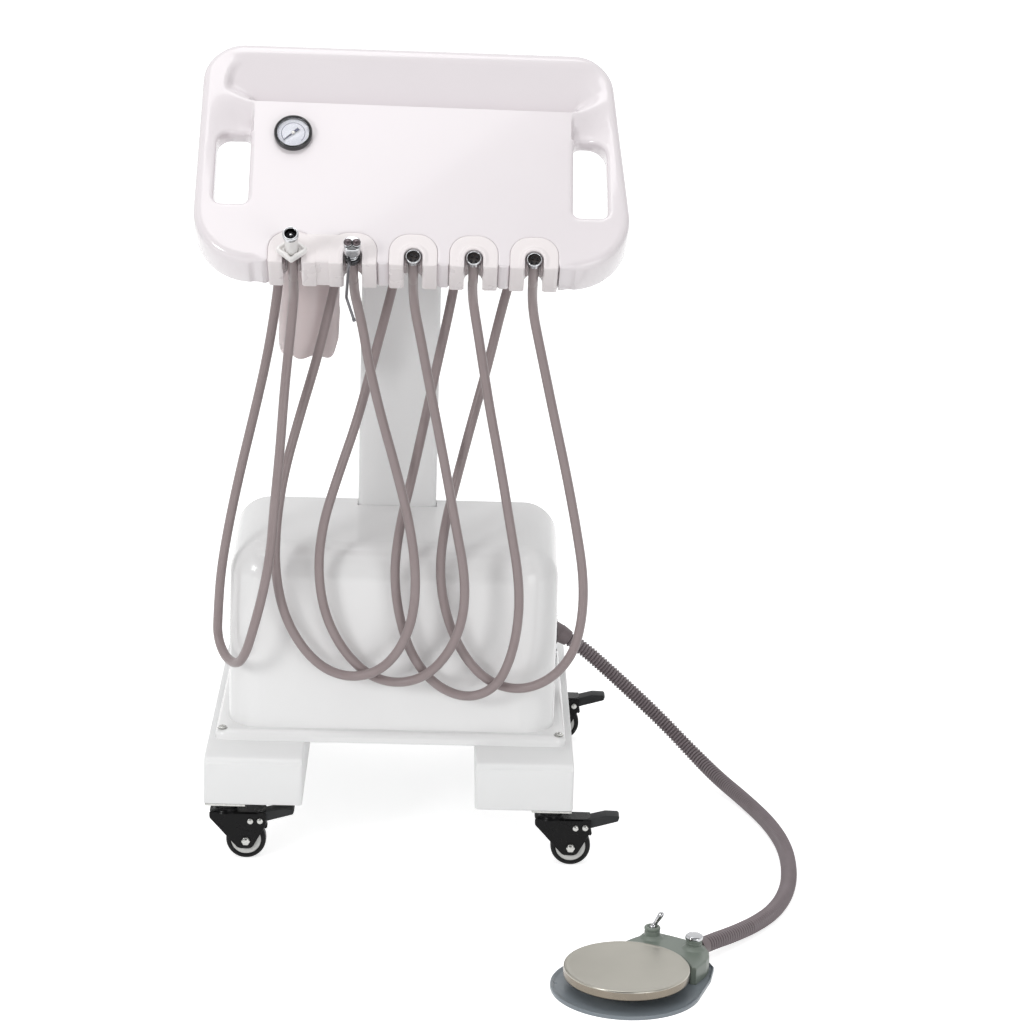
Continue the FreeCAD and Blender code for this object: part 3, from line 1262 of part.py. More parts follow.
def make_inlet():
    """An inlet module in the back wall: appliance socket beside a rocker switch."""
    back = DOME_BACK
    case = slab("inlet_case", "inlet_width", "inlet_depth", "inlet_height", "inlet_x",
                "%s - inlet_depth/2" % back, "inlet_z - inlet_height/2")
    flange = slab("inlet_rim", "inlet_width + 2*inlet_flange", "inlet_proud",
                  "inlet_height + 2*inlet_flange", "inlet_x", "%s + inlet_proud/2" % back,
                  "inlet_z - inlet_height/2 - inlet_flange")
    socket_x = "(inlet_x + inlet_width/2 - socket_width/2 - inlet_flange)"
    socket = slab("inlet_socket", "socket_width", "2*socket_depth", "socket_height", socket_x,
                  "%s + inlet_proud" % back, "inlet_z - socket_height/2")
    rocker_x = "(inlet_x - inlet_width/2 + rocker_width/2 + inlet_flange)"
    well = slab("rocker_well", "rocker_width + 2*side_gap", "2*rocker_depth + 2*side_gap",
                "rocker_height + 4*side_gap", rocker_x, "%s + inlet_proud" % back,
                "inlet_z - rocker_height/2 - 2*side_gap")
    pins = [rod("socket_pin_%d" % i, "socket_pin_radius", "socket_depth - inlet_proud",
                "%s + %d*socket_pin_pitch" % (socket_x, i - 1), "%s + inlet_proud - socket_depth" % back,
                "inlet_z", "Y") for i in range(3)]
    face = "(%s + inlet_proud)" % back
    pin_y = "(%s - rocker_depth/2)" % face
    bore = rod("rocker_pin_bore", "rocker_pin_radius + bore_gap",
               "rocker_width + 2*rocker_pin_reach + 2*bore_gap",
               "%s - rocker_width/2 - rocker_pin_reach - bore_gap" % rocker_x, pin_y, "inlet_z", "X")
    shell = cut("inlet_shell", fuse("inlet_solid", case, flange), socket, well, bore)
    keep("power_inlet", fuse("power_inlet", shell, *pins))
    body = new_body("rocker")
    section = outline(body, "rocker_side", "YZ_Plane", [
        ("%s - rocker_depth + side_gap" % face, "inlet_z - rocker_height/4"),
        ("%s - 1" % face, "inlet_z - rocker_height/2"), ("%s + 1.5" % face, "inlet_z - rocker_height/2"),
        ("%s" % face, "inlet_z"), ("%s + 1.5" % face, "inlet_z + rocker_height/2"),
        ("%s - 1" % face, "inlet_z + rocker_height/2"),
        ("%s - rocker_depth + side_gap" % face, "inlet_z + rocker_height/4")])
    pad(body, "rocker_pad", section, "rocker_width", middle=True)
    place(body, rocker_x)
    pin = rod("rocker_pin", "rocker_pin_radius", "rocker_width + 2*rocker_pin_reach",
              "%s - rocker_width/2 - rocker_pin_reach" % rocker_x, pin_y, "inlet_z", "X")
    keep("power_switch", fuse("power_switch", body, pin))


# ---------------------------------------------------------------- foot control

HOUSING = [(80, 8), (94, 32), (98, 45), (98.5, 60), (92, 76), (76, 90), (59, 101), (45, 109),
           (27, 106), (12, 94), (2, 84), (0, 60), (60, 0)]
FLOOR_PLATE = [(80, -26), (99, 22), (105, 56), (99, 74), (80, 93), (47, 113), (22, 110),
               (-20, 78), (60, 0)]


TOGGLE_Z = "(toggle_tower_top - toggle_ball/2)"


def corners(points):
    """Corner formulas of a plan that is given in millimetres from the foot control's centre."""
    return [("%g" % x, "%g" % y) for x, y in points]


def at_pedal(item, x=0, y=0, z=0):
    """Set an object down beside the foot control's centre."""
    return place(item, "pedal_x + (%s)" % x, "pedal_y + (%s)" % y, z)


def make_foot_control():
    """The foot control: floor plate, valve casting, sprung tread, toggle lever and hex cap."""
    plate = rod("floor_disc", "tray_radius", "tray_thick")
    wing = new_body("floor_wing")
    pad(wing, "floor_wing_pad", outline(wing, "floor_wing_plan", "XY_Plane", corners(FLOOR_PLATE)),
        "tray_thick")
    rim = cut("floor_rim", rod("floor_rim_out", "tray_radius", "tray_thick + tray_rim"),
              rod("floor_rim_in", "tray_radius - tray_rim", "tray_thick + 4*tray_rim"),
              box("floor_rim_cut", "2*tray_radius", "2*tray_radius", "tray_thick + 4*tray_rim",
                  "tread_gap", "-tread_radius/2", "0"))
    boss = cut("spring_boss", rod("spring_boss_out", "tread_stem_radius + 4", "tray_thick + spring_boss"),
               rod("spring_boss_in", "tread_stem_radius + bore_gap", "2*spring_boss", 0, 0, "tray_thick"))
    keep("floor_plate", at_pedal(fuse("floor_plate", plate, wing, rim, boss)))

    block = new_body("valve_block")
    pad(block, "valve_block_pad", outline(block, "valve_plan", "XY_Plane", corners(HOUSING),
                                          "tray_thick"), "valve_height - tray_thick")
    towers = []
    for tag in ("toggle", "cap"):
        tower = doc.addObject("Part::Cone", tag + "_tower")
        bind(tower, Radius1="%s_tower_radius + tower_flare" % tag, Radius2="%s_tower_radius" % tag,
             Height="%s_tower_top - tray_thick" % tag)
        towers.append(place(tower, tag + "_u", tag + "_v", "tray_thick"))
    round_cut = rod("valve_tread_cut", "tread_radius + tread_gap", "4*valve_height", 0, 0,
                    "-valve_height")
    eye = rod("valve_toggle_eye", "toggle_ball + bore_gap", "4*toggle_ball", "toggle_u", "toggle_v",
              "toggle_tower_top - 2*toggle_ball")
    pin_bore = rod("valve_pin_bore", "toggle_pin_radius + bore_gap", "2*(toggle_pin_half + bore_gap)",
                   "toggle_u", "toggle_v - toggle_pin_half - bore_gap", TOGGLE_Z, "Y")
    keep("foot_valve", at_pedal(cut("foot_valve", fuse("valve_solid", block, *towers), round_cut, eye,
                                    pin_bore, make_hose_socket())))

    tread = turned("foot_tread", [
        ("0", "tray_thick + 2*tread_travel"), ("tread_stem_radius", "tray_thick + 2*tread_travel"),
        ("tread_stem_radius", "tread_top - tread_wall"),
        ("tread_radius - tread_wall", "tread_top - tread_wall"),
        ("tread_radius - tread_wall", "tread_top - tread_skirt"), ("tread_radius", "tread_top - tread_skirt"),
        ("tread_radius", "tread_top - 1"), ("tread_radius - 1", "tread_top"), ("0", "tread_top")])
    keep("foot_tread", at_pedal(tread))

    lever = turned("toggle_lever", [
        ("0", "-toggle_ball"), ("toggle_ball*0.5", "-toggle_ball*0.866"),
        ("toggle_ball*0.866", "-toggle_ball*0.5"), ("toggle_ball", "0"),
        ("toggle_ball*0.866", "toggle_ball*0.5"), ("toggle_radius*0.8", "toggle_ball*0.9"),
        ("toggle_radius", "toggle_length - toggle_radius"),
        ("toggle_radius*0.6", "toggle_length"), ("0", "toggle_length")])
    place(lever, axis=Y_AXIS, angle="toggle_lean")
    pin = rod("toggle_pin", "toggle_pin_radius", "2*toggle_pin_half", 0, "-toggle_pin_half", 0, "Y")
    keep("foot_toggle", at_pedal(fuse("foot_toggle", lever, pin), "toggle_u", "toggle_v", TOGGLE_Z))

    hexagon = doc.addObject("Part::Prism", "valve_cap")
    hexagon.Polygon = 6
    bind(hexagon, Circumradius="cap_hex", Height="cap_height")
    keep("valve_cap", at_pedal(hexagon, "cap_u", "cap_v", "cap_tower_top"))


def make_hose_socket():
    """The hole in the casting that the foot hose's end is pushed into."""
    end = Vector(*FOOT_ROUTE[-1])
    way = (end - Vector(*FOOT_ROUTE[-2])).normalize()
    centre = Vector(value("pedal_x"), value("pedal_y"), 0)
    depth = value("4*foot_hose_diameter")
    socket = doc.addObject("Part::Feature", "hose_socket")
    socket.Shape = Part.makeCylinder(value("foot_hose_diameter/2"), depth, end - centre - way * depth, way)
    return socket


make_foot("foot_left", "-base_width/2")
make_foot("foot_right", "(base_width/2 - foot_width)")
make_base_plate()
make_caster_plates()
for corner, (x, y) in CASTERS.items():
    make_fork(corner, x, y)
    make_wheel(corner, x, y)
    make_brake(corner, x, y)
make_cover()
make_cover_screws()
make_fans()
make_column()
make_bracket()
make_console_shell()
make_holders()
make_closing_plate()
make_gauge()
make_couplers()
make_suction()
make_syringe()
make_bottle()
make_hoses()
make_compressor()
make_inlet()
make_foot_control()
doc.recompute()

faults = []
for item in doc.Objects:
    if "Invalid" in item.State or "Error" in item.State:
        faults.append("%s is %s" % (item.Name, item.State))
for name, item in pieces.items():
    if item.Shape.isNull() or not item.Shape.isValid():
        faults.append("%s has no valid shape" % name)
if faults:
    raise RuntimeError("\n".join(faults))
os.makedirs("parts", exist_ok=True)
for name, item in pieces.items():
    item.Shape.exportStep("parts/%s.step" % name)
print("%d sub-parts written" % len(pieces))
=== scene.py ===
"""Looks of the portable dental unit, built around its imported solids.

Blender works in metres in the unit's frame: X to the user's right, Y away from the user, Z up,
floor at Z = 0. The functions that shape a piece work in millimetres, in the piece's own frame,
and a matrix takes them to the unit's frame.
"""
import math
import bmesh
import bpy
import numpy as np
from mathutils import Matrix, Vector


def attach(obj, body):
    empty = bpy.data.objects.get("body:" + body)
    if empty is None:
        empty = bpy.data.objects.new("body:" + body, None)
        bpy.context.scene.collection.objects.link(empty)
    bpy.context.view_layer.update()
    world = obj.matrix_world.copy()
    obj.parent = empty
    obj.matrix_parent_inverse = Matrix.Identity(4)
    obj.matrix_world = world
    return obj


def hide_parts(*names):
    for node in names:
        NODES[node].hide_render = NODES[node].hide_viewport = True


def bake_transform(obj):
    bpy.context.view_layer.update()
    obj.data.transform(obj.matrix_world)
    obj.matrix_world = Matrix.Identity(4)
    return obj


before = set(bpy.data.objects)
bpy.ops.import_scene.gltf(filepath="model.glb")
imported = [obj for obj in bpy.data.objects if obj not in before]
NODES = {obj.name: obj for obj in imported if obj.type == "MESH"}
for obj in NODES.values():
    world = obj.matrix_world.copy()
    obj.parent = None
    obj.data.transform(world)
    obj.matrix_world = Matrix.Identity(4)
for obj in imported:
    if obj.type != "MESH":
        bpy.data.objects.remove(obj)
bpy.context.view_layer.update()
MM = 0.001
ROLL_STEPS = 5

# The console slopes up from the user. Its own directions are u across, v up the slope, w outwards.
DECK_POINT = (12, -195, 868)
DECK_TILT = math.radians(50)
HOLDER_PITCH, HOLDER_MID, HOLDER_V = 71.4, 5, -119.5


# ---- places


def at(x=0, y=0, z=0, turn=0, axis="Z"):
    """A place, turned by degrees about one axis through it."""
    return Matrix.Translation((x, y, z)) @ Matrix.Rotation(math.radians(turn), 4, axis)


def on_console(u=0, v=0, w=0):
    """The place of a point of the console, with its X, Y and Z along u, v and w."""
    return Matrix.Translation(DECK_POINT) @ Matrix.Rotation(DECK_TILT, 4, "X") @ at(u, v, w)


def holder_u(number):
    """How far across the console holder 1 to 5 stands."""
    return HOLDER_MID + HOLDER_PITCH * (number - 3)


def placed(name, data):
    """A new object of the scene."""
    item = bpy.data.objects.new(name, data)
    bpy.context.scene.collection.objects.link(item)
    return item


# ---- surfaces


def value(item, x, y):
    """A number, or what a function gives at x and y."""
    return item(x, y) if callable(item) else item


def smooth(x, start, end):
    """0 before start, 1 after end, and 3t^2 - 2t^3 between them."""
    t = np.clip((x - start) / (end - start), 0, 1)
    return t * t * (3 - 2 * t)


def quads(rows, columns, wrap=False):
    """Faces between the points of a grid; wrap joins its last column to its first."""
    across = np.arange(columns if wrap else columns - 1)
    i, j = np.meshgrid(np.arange(rows - 1), across, indexing="ij")
    k = (j + 1) % columns
    corners = [i * columns + j, i * columns + k, (i + 1) * columns + k, (i + 1) * columns + j]
    return np.stack(corners, -1).reshape(-1, 4)


def unit(vectors):
    """Vectors at length one."""
    return vectors / np.linalg.norm(vectors, axis=1, keepdims=True)


def eased(corners, radius, steps=4):
    """A profile with eased corners: each corner P becomes (1-t)^2 A + 2t(1-t) P + t^2 B, where A
    and B lie a radius before and after it, or nearly half of a shorter side."""
    p = np.array(corners, float)

    def toward(others):
        way = others - p[1:-1]
        length = np.linalg.norm(way, axis=1, keepdims=True)
        return p[1:-1] + way / length * np.minimum(radius, 0.48 * length)
    a, b = toward(p[:-2])[:, None], toward(p[2:])[:, None]
    t = np.linspace(0, 1, steps)[None, :, None]
    curve = (1 - t) ** 2 * a + 2 * t * (1 - t) * p[1:-1, None] + t ** 2 * b
    return np.r_[p[:1], curve.reshape(-1, p.shape[1]), p[-1:]]


def flipped(profile):
    """A profile run backwards below its own level."""
    return [(r, -h) for r, h in profile[::-1]]


def turned(profile, steps=72, wave=None):
    """A turned surface: each (radius, height) of the profile goes round Z as (r cos a, r sin a, h).
    wave(a, r, h) may give other radii and heights."""
    r, h = np.array(profile, float).T[:, :, None]
    a = np.arange(steps)[None, :] * 2 * math.pi / steps
    if wave is not None:
        r, h = wave(a, r, h)
    points = np.stack(np.broadcast_arrays(r * np.cos(a), r * np.sin(a), h), -1)
    return points.reshape(-1, 3), quads(len(profile), steps, True)


def tube(line, radius, away, sides):
    """A round tube: line + r (cos a side + sin a lift), with side square to the line and to away.
    radius is one number or one for each point of the line."""
    line = np.array(line, float)
    along = np.gradient(line, axis=0)
    side = unit(np.cross(along, away))
    lift = unit(np.cross(side, along))
    a = (np.arange(sides) * 2 * math.pi / sides)[None, :, None]
    r = np.broadcast_to(radius, len(line))[:, None, None]
    rings = line[:, None] + r * (np.cos(a) * side[:, None] + np.sin(a) * lift[:, None])
    rings = np.r_[np.repeat(line[:1, None], sides, 1), rings, np.repeat(line[-1:, None], sides, 1)]
    return rings.reshape(-1, 3), quads(len(rings), sides, True)


def box_edge(x, y, half_x, half_y, radius):
    """Distance from the rim of a rectangle with rounded corners, negative inside. The radius may
    differ from corner to corner."""
    a, b = np.abs(x) - half_x + radius, np.abs(y) - half_y + radius
    return np.minimum(np.maximum(a, b), 0) + np.hypot(np.maximum(a, 0), np.maximum(b, 0)) - radius


def loop_edge(corners, radius):
    """Distance from the rim of a convex plan, given corner by corner against the clock, with its
    corners rounded to one radius each."""
    p = np.array(corners, float)
    sides = unit(np.roll(p, -1, 0) - p)
    normals = np.stack([sides[:, 1], -sides[:, 0]], -1)
    reach = (normals * p).sum(1)

    def edge(x, y):
        flat = np.stack([n[0] * x + n[1] * y - c for n, c in zip(normals, reach)])
        d = flat.max(0)
        for i, r in enumerate(np.broadcast_to(radius, len(p))):
            m, n = normals[i - 1], normals[i]
            centre = np.linalg.solve(np.array([m, n]), np.array([reach[i - 1] - r, reach[i] - r]))
            dx, dy = x - centre[0], y - centre[1]
            past = (dx * sides[i - 1, 0] + dy * sides[i - 1, 1] > 0)
            past &= (dx * sides[i, 0] + dy * sides[i, 1] < 0)
            d = np.where(past, np.hypot(dx, dy) - r, d)
        return d
    return edge


def plate(xs, ys, edge, top, bottom, roll, under=0, shift=None):
    """A plate over a plan. xs and ys are its grid's lines, or what makes them, and shift(x, y) may
    move them. edge(x, y) is the distance from the rim of the faces, negative inside. Cells that
    reach into the plan are kept, and their outer corners are drawn in to the rim down the
    distance's slope. The wall stands out by r sin a, r (1 - cos a) below the top, for a from 0 to
    90 degrees, and comes back in the same way by under at its foot."""
    xs, ys = (np.arange(*lines) if len(lines) == 3 else lines for lines in (xs, ys))
    pitch = min(np.median(np.diff(xs)), np.median(np.diff(ys)))
    x, y = np.meshgrid(xs, ys, indexing="ij")
    if shift is not None:
        x, y = shift(x, y)
    inside = edge(x, y) < -0.3 * pitch
    kept = inside[:-1, :-1] | inside[1:, :-1] | inside[:-1, 1:] | inside[1:, 1:]
    step = 0.05 * pitch
    for turn in range(7):
        d = edge(x, y)
        gx = (edge(x + step, y) - edge(x - step, y)) / (2 * step)
        gy = (edge(x, y + step) - edge(x, y - step)) / (2 * step)
        g = np.maximum(gx * gx + gy * gy, 0.2)
        if turn < 6:
            x = np.where(inside, x, x - d * gx / g)
            y = np.where(inside, y, y - d * gy / g)
    columns = x.shape[1]
    i, j = np.nonzero(kept)
    a = i * columns + j
    cells = np.stack([a, a + columns, a + columns + 1, a + 1], -1)
    used, cells = np.unique(cells, return_inverse=True)
    cells = cells.reshape(-1, 4)
    x, y, gx, gy = (item.ravel()[used] for item in (x, y, gx, gy))
    high, low = value(top, x, y) + 0 * x, value(bottom, x, y) + 0 * x
    count = len(x)
    ends = np.concatenate([cells[:, [k, (k + 1) % 4]] for k in range(4)])
    rim = ends[~np.isin(ends[:, 0] * count + ends[:, 1], ends[:, 1] * count + ends[:, 0])]
    rim_points, rim = np.unique(rim, return_inverse=True)
    rim = rim.reshape(-1, 2)
    rx, ry = x[rim_points], y[rim_points]
    way = np.stack([gx, gy], -1)[rim_points]
    way /= np.maximum(np.linalg.norm(way, axis=1, keepdims=True), 1e-6)
    a = np.linspace(0, math.pi / 2, ROLL_STEPS)[:, None]
    r = value(roll, rx, ry)
    foot = np.minimum(under, r)
    out = np.concatenate([r * np.sin(a) + 0 * rx, r - foot * (1 - np.cos(a)) + 0 * rx])
    high_part = high[rim_points] - r * (1 - np.cos(a))
    low_part = low[rim_points] + foot * (1 - np.sin(a)) + 0 * rx
    height = np.concatenate([high_part, low_part])
    wall = np.stack([rx + out * way[:, 0], ry + out * way[:, 1], height], -1)
    rows = 2 * count + np.arange(out.size).reshape(out.shape)
    rings = np.array([rim_points, *rows, count + rim_points])
    above, below, (a, b) = rings[:-1], rings[1:], rim.T
    walls = np.stack([above[:, b], above[:, a], below[:, a], below[:, b]], -1).reshape(-1, 4)
    points = [np.stack([x, y, high], -1), np.stack([x, y, low], -1), wall.reshape(-1, 3)]
    return np.concatenate(points), np.concatenate([cells, cells[:, ::-1] + count, walls])


def cut(xs, ys, plan, top, bottom, roll, under=0):
    """A plate that fills a plan, with its rolled edges inside the plan's rim."""
    return plate(xs, ys, lambda x, y: plan(x, y) + roll, top, bottom, roll, under)


def slab(half_x, half_y, low, high, corner, roll, pitch, under=0):
    """A rounded rectangular plate with rolled edges."""
    return cut((-half_x, half_x + pitch, pitch), (-half_y, half_y + pitch, pitch),
        lambda x, y: box_edge(x, y, half_x, half_y, corner), high, low, roll, under)


def joined(*surfaces):
    """Several surfaces as one list of points and faces."""
    points, faces = zip(*surfaces)
    starts = np.cumsum([0] + [len(part) for part in points])
    return np.concatenate(points), np.concatenate([f + start for f, start in zip(faces, starts)])


def moved(surface, place):
    """A surface taken to a place."""
    points, faces = surface
    m = np.array(place)
    return points @ m[:3, :3].T + m[:3, 3], faces


def piece(name, layers, place=None, replaces=None, crease=32, body="frame"):
    """A finished piece from (surface, material) layers. Doubled points are merged, which closes
    seams and poles, faces are turned outwards, and edges sharper than crease stay sharp. A moving
    piece stands for the node its body is named after, unless replaces says otherwise."""
    points, faces, which, start = [], [], [], 0
    for number, (surface, _) in enumerate(layers):
        if place is not None:
            surface = moved(surface, place)
        points.append(surface[0] * MM)
        faces.append(surface[1] + start)
        which.append(np.full(len(surface[1]), number))
        start += len(surface[0])
    mesh = bpy.data.meshes.new(name)
    mesh.from_pydata(np.concatenate(points).tolist(), [], np.concatenate(faces).tolist())
    for _, look in layers:
        mesh.materials.append(look)
    mesh.polygons.foreach_set("material_index", np.concatenate(which).astype(np.int32))
    shell = bmesh.new()
    shell.from_mesh(mesh)
    bmesh.ops.remove_doubles(shell, verts=shell.verts, dist=2e-6)
    bmesh.ops.dissolve_degenerate(shell, dist=1e-7, edges=shell.edges)
    bmesh.ops.recalc_face_normals(shell, faces=shell.faces)
    shell.to_mesh(mesh)
    shell.free()
    mesh.shade_smooth()
    mesh.set_sharp_from_angle(angle=math.radians(crease))
    item = placed(name, mesh)
    if body is not None:
        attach(item, body)
        if replaces is None and body != "frame":
            replaces = [body]
    if replaces:
        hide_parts(*replaces)
    return item


# ---- materials


def bare_tree(owner):
    """The emptied node tree of a material or a world."""
    owner.use_nodes = True
    owner.node_tree.nodes.clear()
    return owner.node_tree


def linear(colour):
    """An sRGB hex colour as linear red, green, blue and alpha."""
    c = np.array([int(colour[i:i + 2], 16) for i in (0, 2, 4)]) / 255
    c = np.where(c <= 0.04045, c / 12.92, ((c + 0.055) / 1.055) ** 2.4)
    return (*c.tolist(), 1)


def add(tree, kind, sockets=None, **settings):
    """Add a node with its settings; sockets takes values, and outputs of other nodes to link."""
    made = tree.nodes.new("ShaderNode" + kind)
    for key, item in settings.items():
        setattr(made, key, item)
    for key, item in (sockets or {}).items():
        if isinstance(item, bpy.types.NodeSocket):
            tree.links.new(item, made.inputs[key])
        else:
            made.inputs[key].default_value = item
    return made


def finish(name, colour, roughness, second=None, patch=60, worn=0, grain=0, grain_size=1,
        stretch=(1, 1, 1), **sockets):
    """A surface finish. The colour drifts to a second one in patches of so many millimetres, the
    roughness drifts with it by worn, and grain is the height in millimetres of a bump of the
    grain's size, drawn out along the axes by stretch."""
    made = bpy.data.materials.new(name)
    tree = bare_tree(made)
    place = add(tree, "TexCoord").outputs["Object"]
    noise = add(tree, "TexNoise", {"Vector": place, "Scale": 1000 / patch, "Detail": 3})
    drift = noise.outputs["Fac"]
    shell = add(tree, "BsdfPrincipled", {"Roughness": roughness})
    for key, item in sockets.items():
        shell.inputs[key.replace("_", " ")].default_value = item
    if second is None:
        shell.inputs["Base Color"].default_value = linear(colour)
    else:
        mix = add(tree, "Mix", {0: drift, 6: linear(colour), 7: linear(second)}, data_type="RGBA")
        tree.links.new(mix.outputs[2], shell.inputs["Base Color"])
    if worn:
        spread = add(tree, "MapRange", {"Value": drift, "From Min": 0.3, "From Max": 0.7,
            "To Min": max(roughness - worn, 0.02), "To Max": roughness + worn})
        tree.links.new(spread.outputs["Result"], shell.inputs["Roughness"])
    if grain:
        drawn = add(tree, "Mapping", {"Vector": place, "Scale": stretch})
        fine = add(tree, "TexNoise", {"Vector": drawn.outputs["Vector"], "Scale": 1000 / grain_size,
            "Detail": 2})
        bump = add(tree, "Bump", {"Height": fine.outputs["Fac"], "Distance": grain * MM,
            "Strength": 1})
        tree.links.new(bump.outputs["Normal"], shell.inputs["Normal"])
    add(tree, "OutputMaterial", {"Surface": shell.outputs["BSDF"]})
    return made


# Steel under white powder coat: satin, with a faint orange peel.
POWDER_COAT = finish("powder_coated_steel", "ECEDED", 0.34, "F0F0F0", 90, 0.05, 0.02, 2.2)
# Vacuum-formed white ABS: glossy, slightly wavy.
FORMED_ABS = finish("vacuum_formed_abs", "EEEEEE", 0.2, "F1F1F1", 140, 0.05, 0.06, 38,
    Coat_Weight=0.25, Coat_Roughness=0.08)
# Console: polished gel-coated resin, a rosy white.
GELCOAT = finish("polished_gelcoat", "E5DFE2", 0.2, "E8E2E5", 120, 0.05, 0.04, 30, Coat_Weight=0.5,
    Coat_Roughness=0.06)
# Holders: moulded ABS, a warmer white, eggshell.
HOLDER_ABS = finish("moulded_holder_abs", "EAE3E4", 0.3, "ECE6E6", 40, 0.05, 0.008, 0.9)
# Instrument hoses: extruded silicone, mauve grey, softly sheening.
SILICONE = finish("extruded_silicone", "8C7E7E", 0.36, "988B8B", 26, 0.06, 0.01, 1.4,
    Sheen_Weight=0.15)
# Foot hose: corrugated soft PVC, a cooler grey brown.
CORRUGATED_PVC = finish("corrugated_pvc", "7A7073", 0.42, "8A8083", 30, 0.06, 0.01, 1.2)
# Chrome on brass: a faintly hazed mirror.
CHROME = finish("chrome_plate", "C9CACC", 0.09, "BFC0C3", 12, 0.04, Metallic=1)
# Stainless tread: satin sheet, dulled by shoes.
STAINLESS = finish("brushed_stainless", "B5B2A8", 0.31, "ACA9A0", 70, 0.03, Metallic=1)
# Tread skirt: the same sheet, darker and warmer as a painted reflection.
SKIRT_REFLECTION_STAINLESS = finish("stainless_skirt_painted_reflection", "908779", 0.26, "777067", 24, 0.05, 0.004, 0.9,
    (1, 1, 8), Metallic=1)
# Valve casting: aluminium in pebbled grey-green enamel.
HAMMER_ENAMEL = finish("grey_green_enamel", "717A72", 0.36, "7B847B", 22, 0.06, 0.05, 3.2)
# Floor plate: steel sheet in blue-grey enamel.
GREY_ENAMEL = finish("blue_grey_enamel", "838B91", 0.34, "798188", 36, 0.07, 0.02, 2)
# Caster forks: black electro-coat on pressed steel.
BLACK_COAT = finish("black_electro_coat", "0A0A0B", 0.28, "101011", 18, 0.08, 0.01, 1,
    Specular_IOR_Level=0.15)
# Brake pedals: dark grey glass-filled nylon.
PEDAL_NYLON = finish("filled_nylon", "2E2F30", 0.52, "3A3B3C", 14, 0.06, 0.02, 0.8,
    Specular_IOR_Level=0.15)
# Tyres: cast polyurethane, black and waxy.
TYRE = finish("cast_polyurethane", "101011", 0.38, "232324", 12, 0.07, 0.01, 0.8,
    Specular_IOR_Level=0.15)
# Wheel centres: light grey nylon.
HUB_NYLON = finish("grey_hub_nylon", "CDCDCB", 0.4, "D6D6D3", 10, 0.05, 0.01, 0.6)
# Bolts and screws: bright zinc plate.
ZINC = finish("bright_zinc", "C6C6C3", 0.24, "B3B3B0", 5, 0.07, Metallic=1)
# Gauge case: black lacquer on steel.
BLACK_LACQUER = finish("black_lacquer", "17171A", 0.2, "1F1F22", 12, 0.05, Coat_Weight=0.3)
# Dial card: printed white aluminium.
DIAL_WHITE = finish("printed_dial", "DADCE6", 0.5, "E2E3EB", 10)
# Dial print: blue-black ink.
DIAL_INK = finish("dial_ink", "23295A", 0.5, "2D3468", 6)
# Needle: blue-black lacquered brass.
NEEDLE = finish("needle_lacquer", "141B45", 0.35, "1C2456", 5)
# Bottle cap, suction handpiece: white polypropylene.
WHITE_PP = finish("white_polypropylene", "E9E7E6", 0.36, "EEECEA", 20, 0.05, 0.01, 1)
# Push buttons: anodised, grey-brown.
BUTTON_GREY = finish("anodised_button", "6E6467", 0.3, "5D5457", 3, 0.08, Metallic=0.7)
# Coupler face: dark brown rubber gasket.
GASKET = finish("coupler_gasket", "221A18", 0.55, "2C2320", 3, 0.08)
# Fans, inlet and switch: black glass-filled nylon.
BLACK_NYLON = finish("black_nylon", "202124", 0.46, "2A2B2E", 12, 0.06, 0.015, 0.8)
# Compressor castings: shot-blasted aluminium.
CAST_ALUMINIUM = finish("blasted_aluminium", "B9BABB", 0.5, "A9ABAD", 20, 0.08, 0.05, 1.4,
    Metallic=0.85)
# Cylinder heads: black paint over cast fins.
FIN_BLACK = finish("painted_fins", "1C1D1F", 0.42, "26272A", 18, 0.07, 0.03, 1.5)
# The compressor's feet: moulded rubber.
RUBBER = finish("moulded_rubber", "1B1B1C", 0.6, "262627", 9, 0.08, 0.03, 1.2)
# Bores, ports and nuts: fine-turned steel, dark as the nuts' own colour and as painted shade in the
# bores and ports.
DARK_STEEL_BORE_SHADE = finish("dark_steel_painted_bore_shade", "4A4A4C", 0.25, "3A3A3C", 4, 0.05, Metallic=1)
# Glands and reliefs: soft rubber, darker than the hose.
RELIEF_RUBBER = finish("relief_rubber", "6E6365", 0.48, "7A6F71", 12, 0.06, 0.008, 0.9)
# The foot hose in its grooves: matt, and darker with painted shade.
GROOVE_SHADE_PVC = finish("painted_groove_shade_pvc", "5C5255", 0.6, "655B5E", 30, 0.05)
# Nozzle: drawn steel tube, satin.
DRAWN_STEEL = finish("drawn_steel_tube", "77767A", 0.32, "69686C", 8, 0.06, Metallic=1)
# Spring clips: warm grey nylon.
CLIP_NYLON = finish("clip_nylon", "8A8081", 0.45, "958B8C", 8, 0.05, 0.01, 0.8)
# The syringe's shield-shaped front: satin chrome.
SATIN_CHROME = finish("satin_chrome", "B4B5B8", 0.3, "A4A5A8", 6, 0.05, Metallic=1)
# Bottle: blown clear PET with a faint rose cast.
PET = finish("blown_pet", "F0E5E5", 0.07, Transmission_Weight=0.4, IOR=1.3, Specular_IOR_Level=0.6)
# Gauge lens: clear glass.
LENS = finish("gauge_lens", "FFFFFF", 0.02, Transmission_Weight=1, IOR=1.3)


# ---- camera


def aim_camera():
    """A long lens from above, a little to the right, with the tilt of a hand-held frame."""
    yaw, pitch, roll = 1.19, 15.94, 1.69
    camera = placed("camera", bpy.data.cameras.new("camera"))
    turned_up = at(turn=90 - pitch, axis="X")
    camera.matrix_world = at(0.062, -4.129, 1.569, -yaw) @ turned_up @ at(turn=roll)
    camera.data.lens = 117.2
    camera.data.clip_end = 60
    bpy.context.scene.camera = camera


aim_camera()
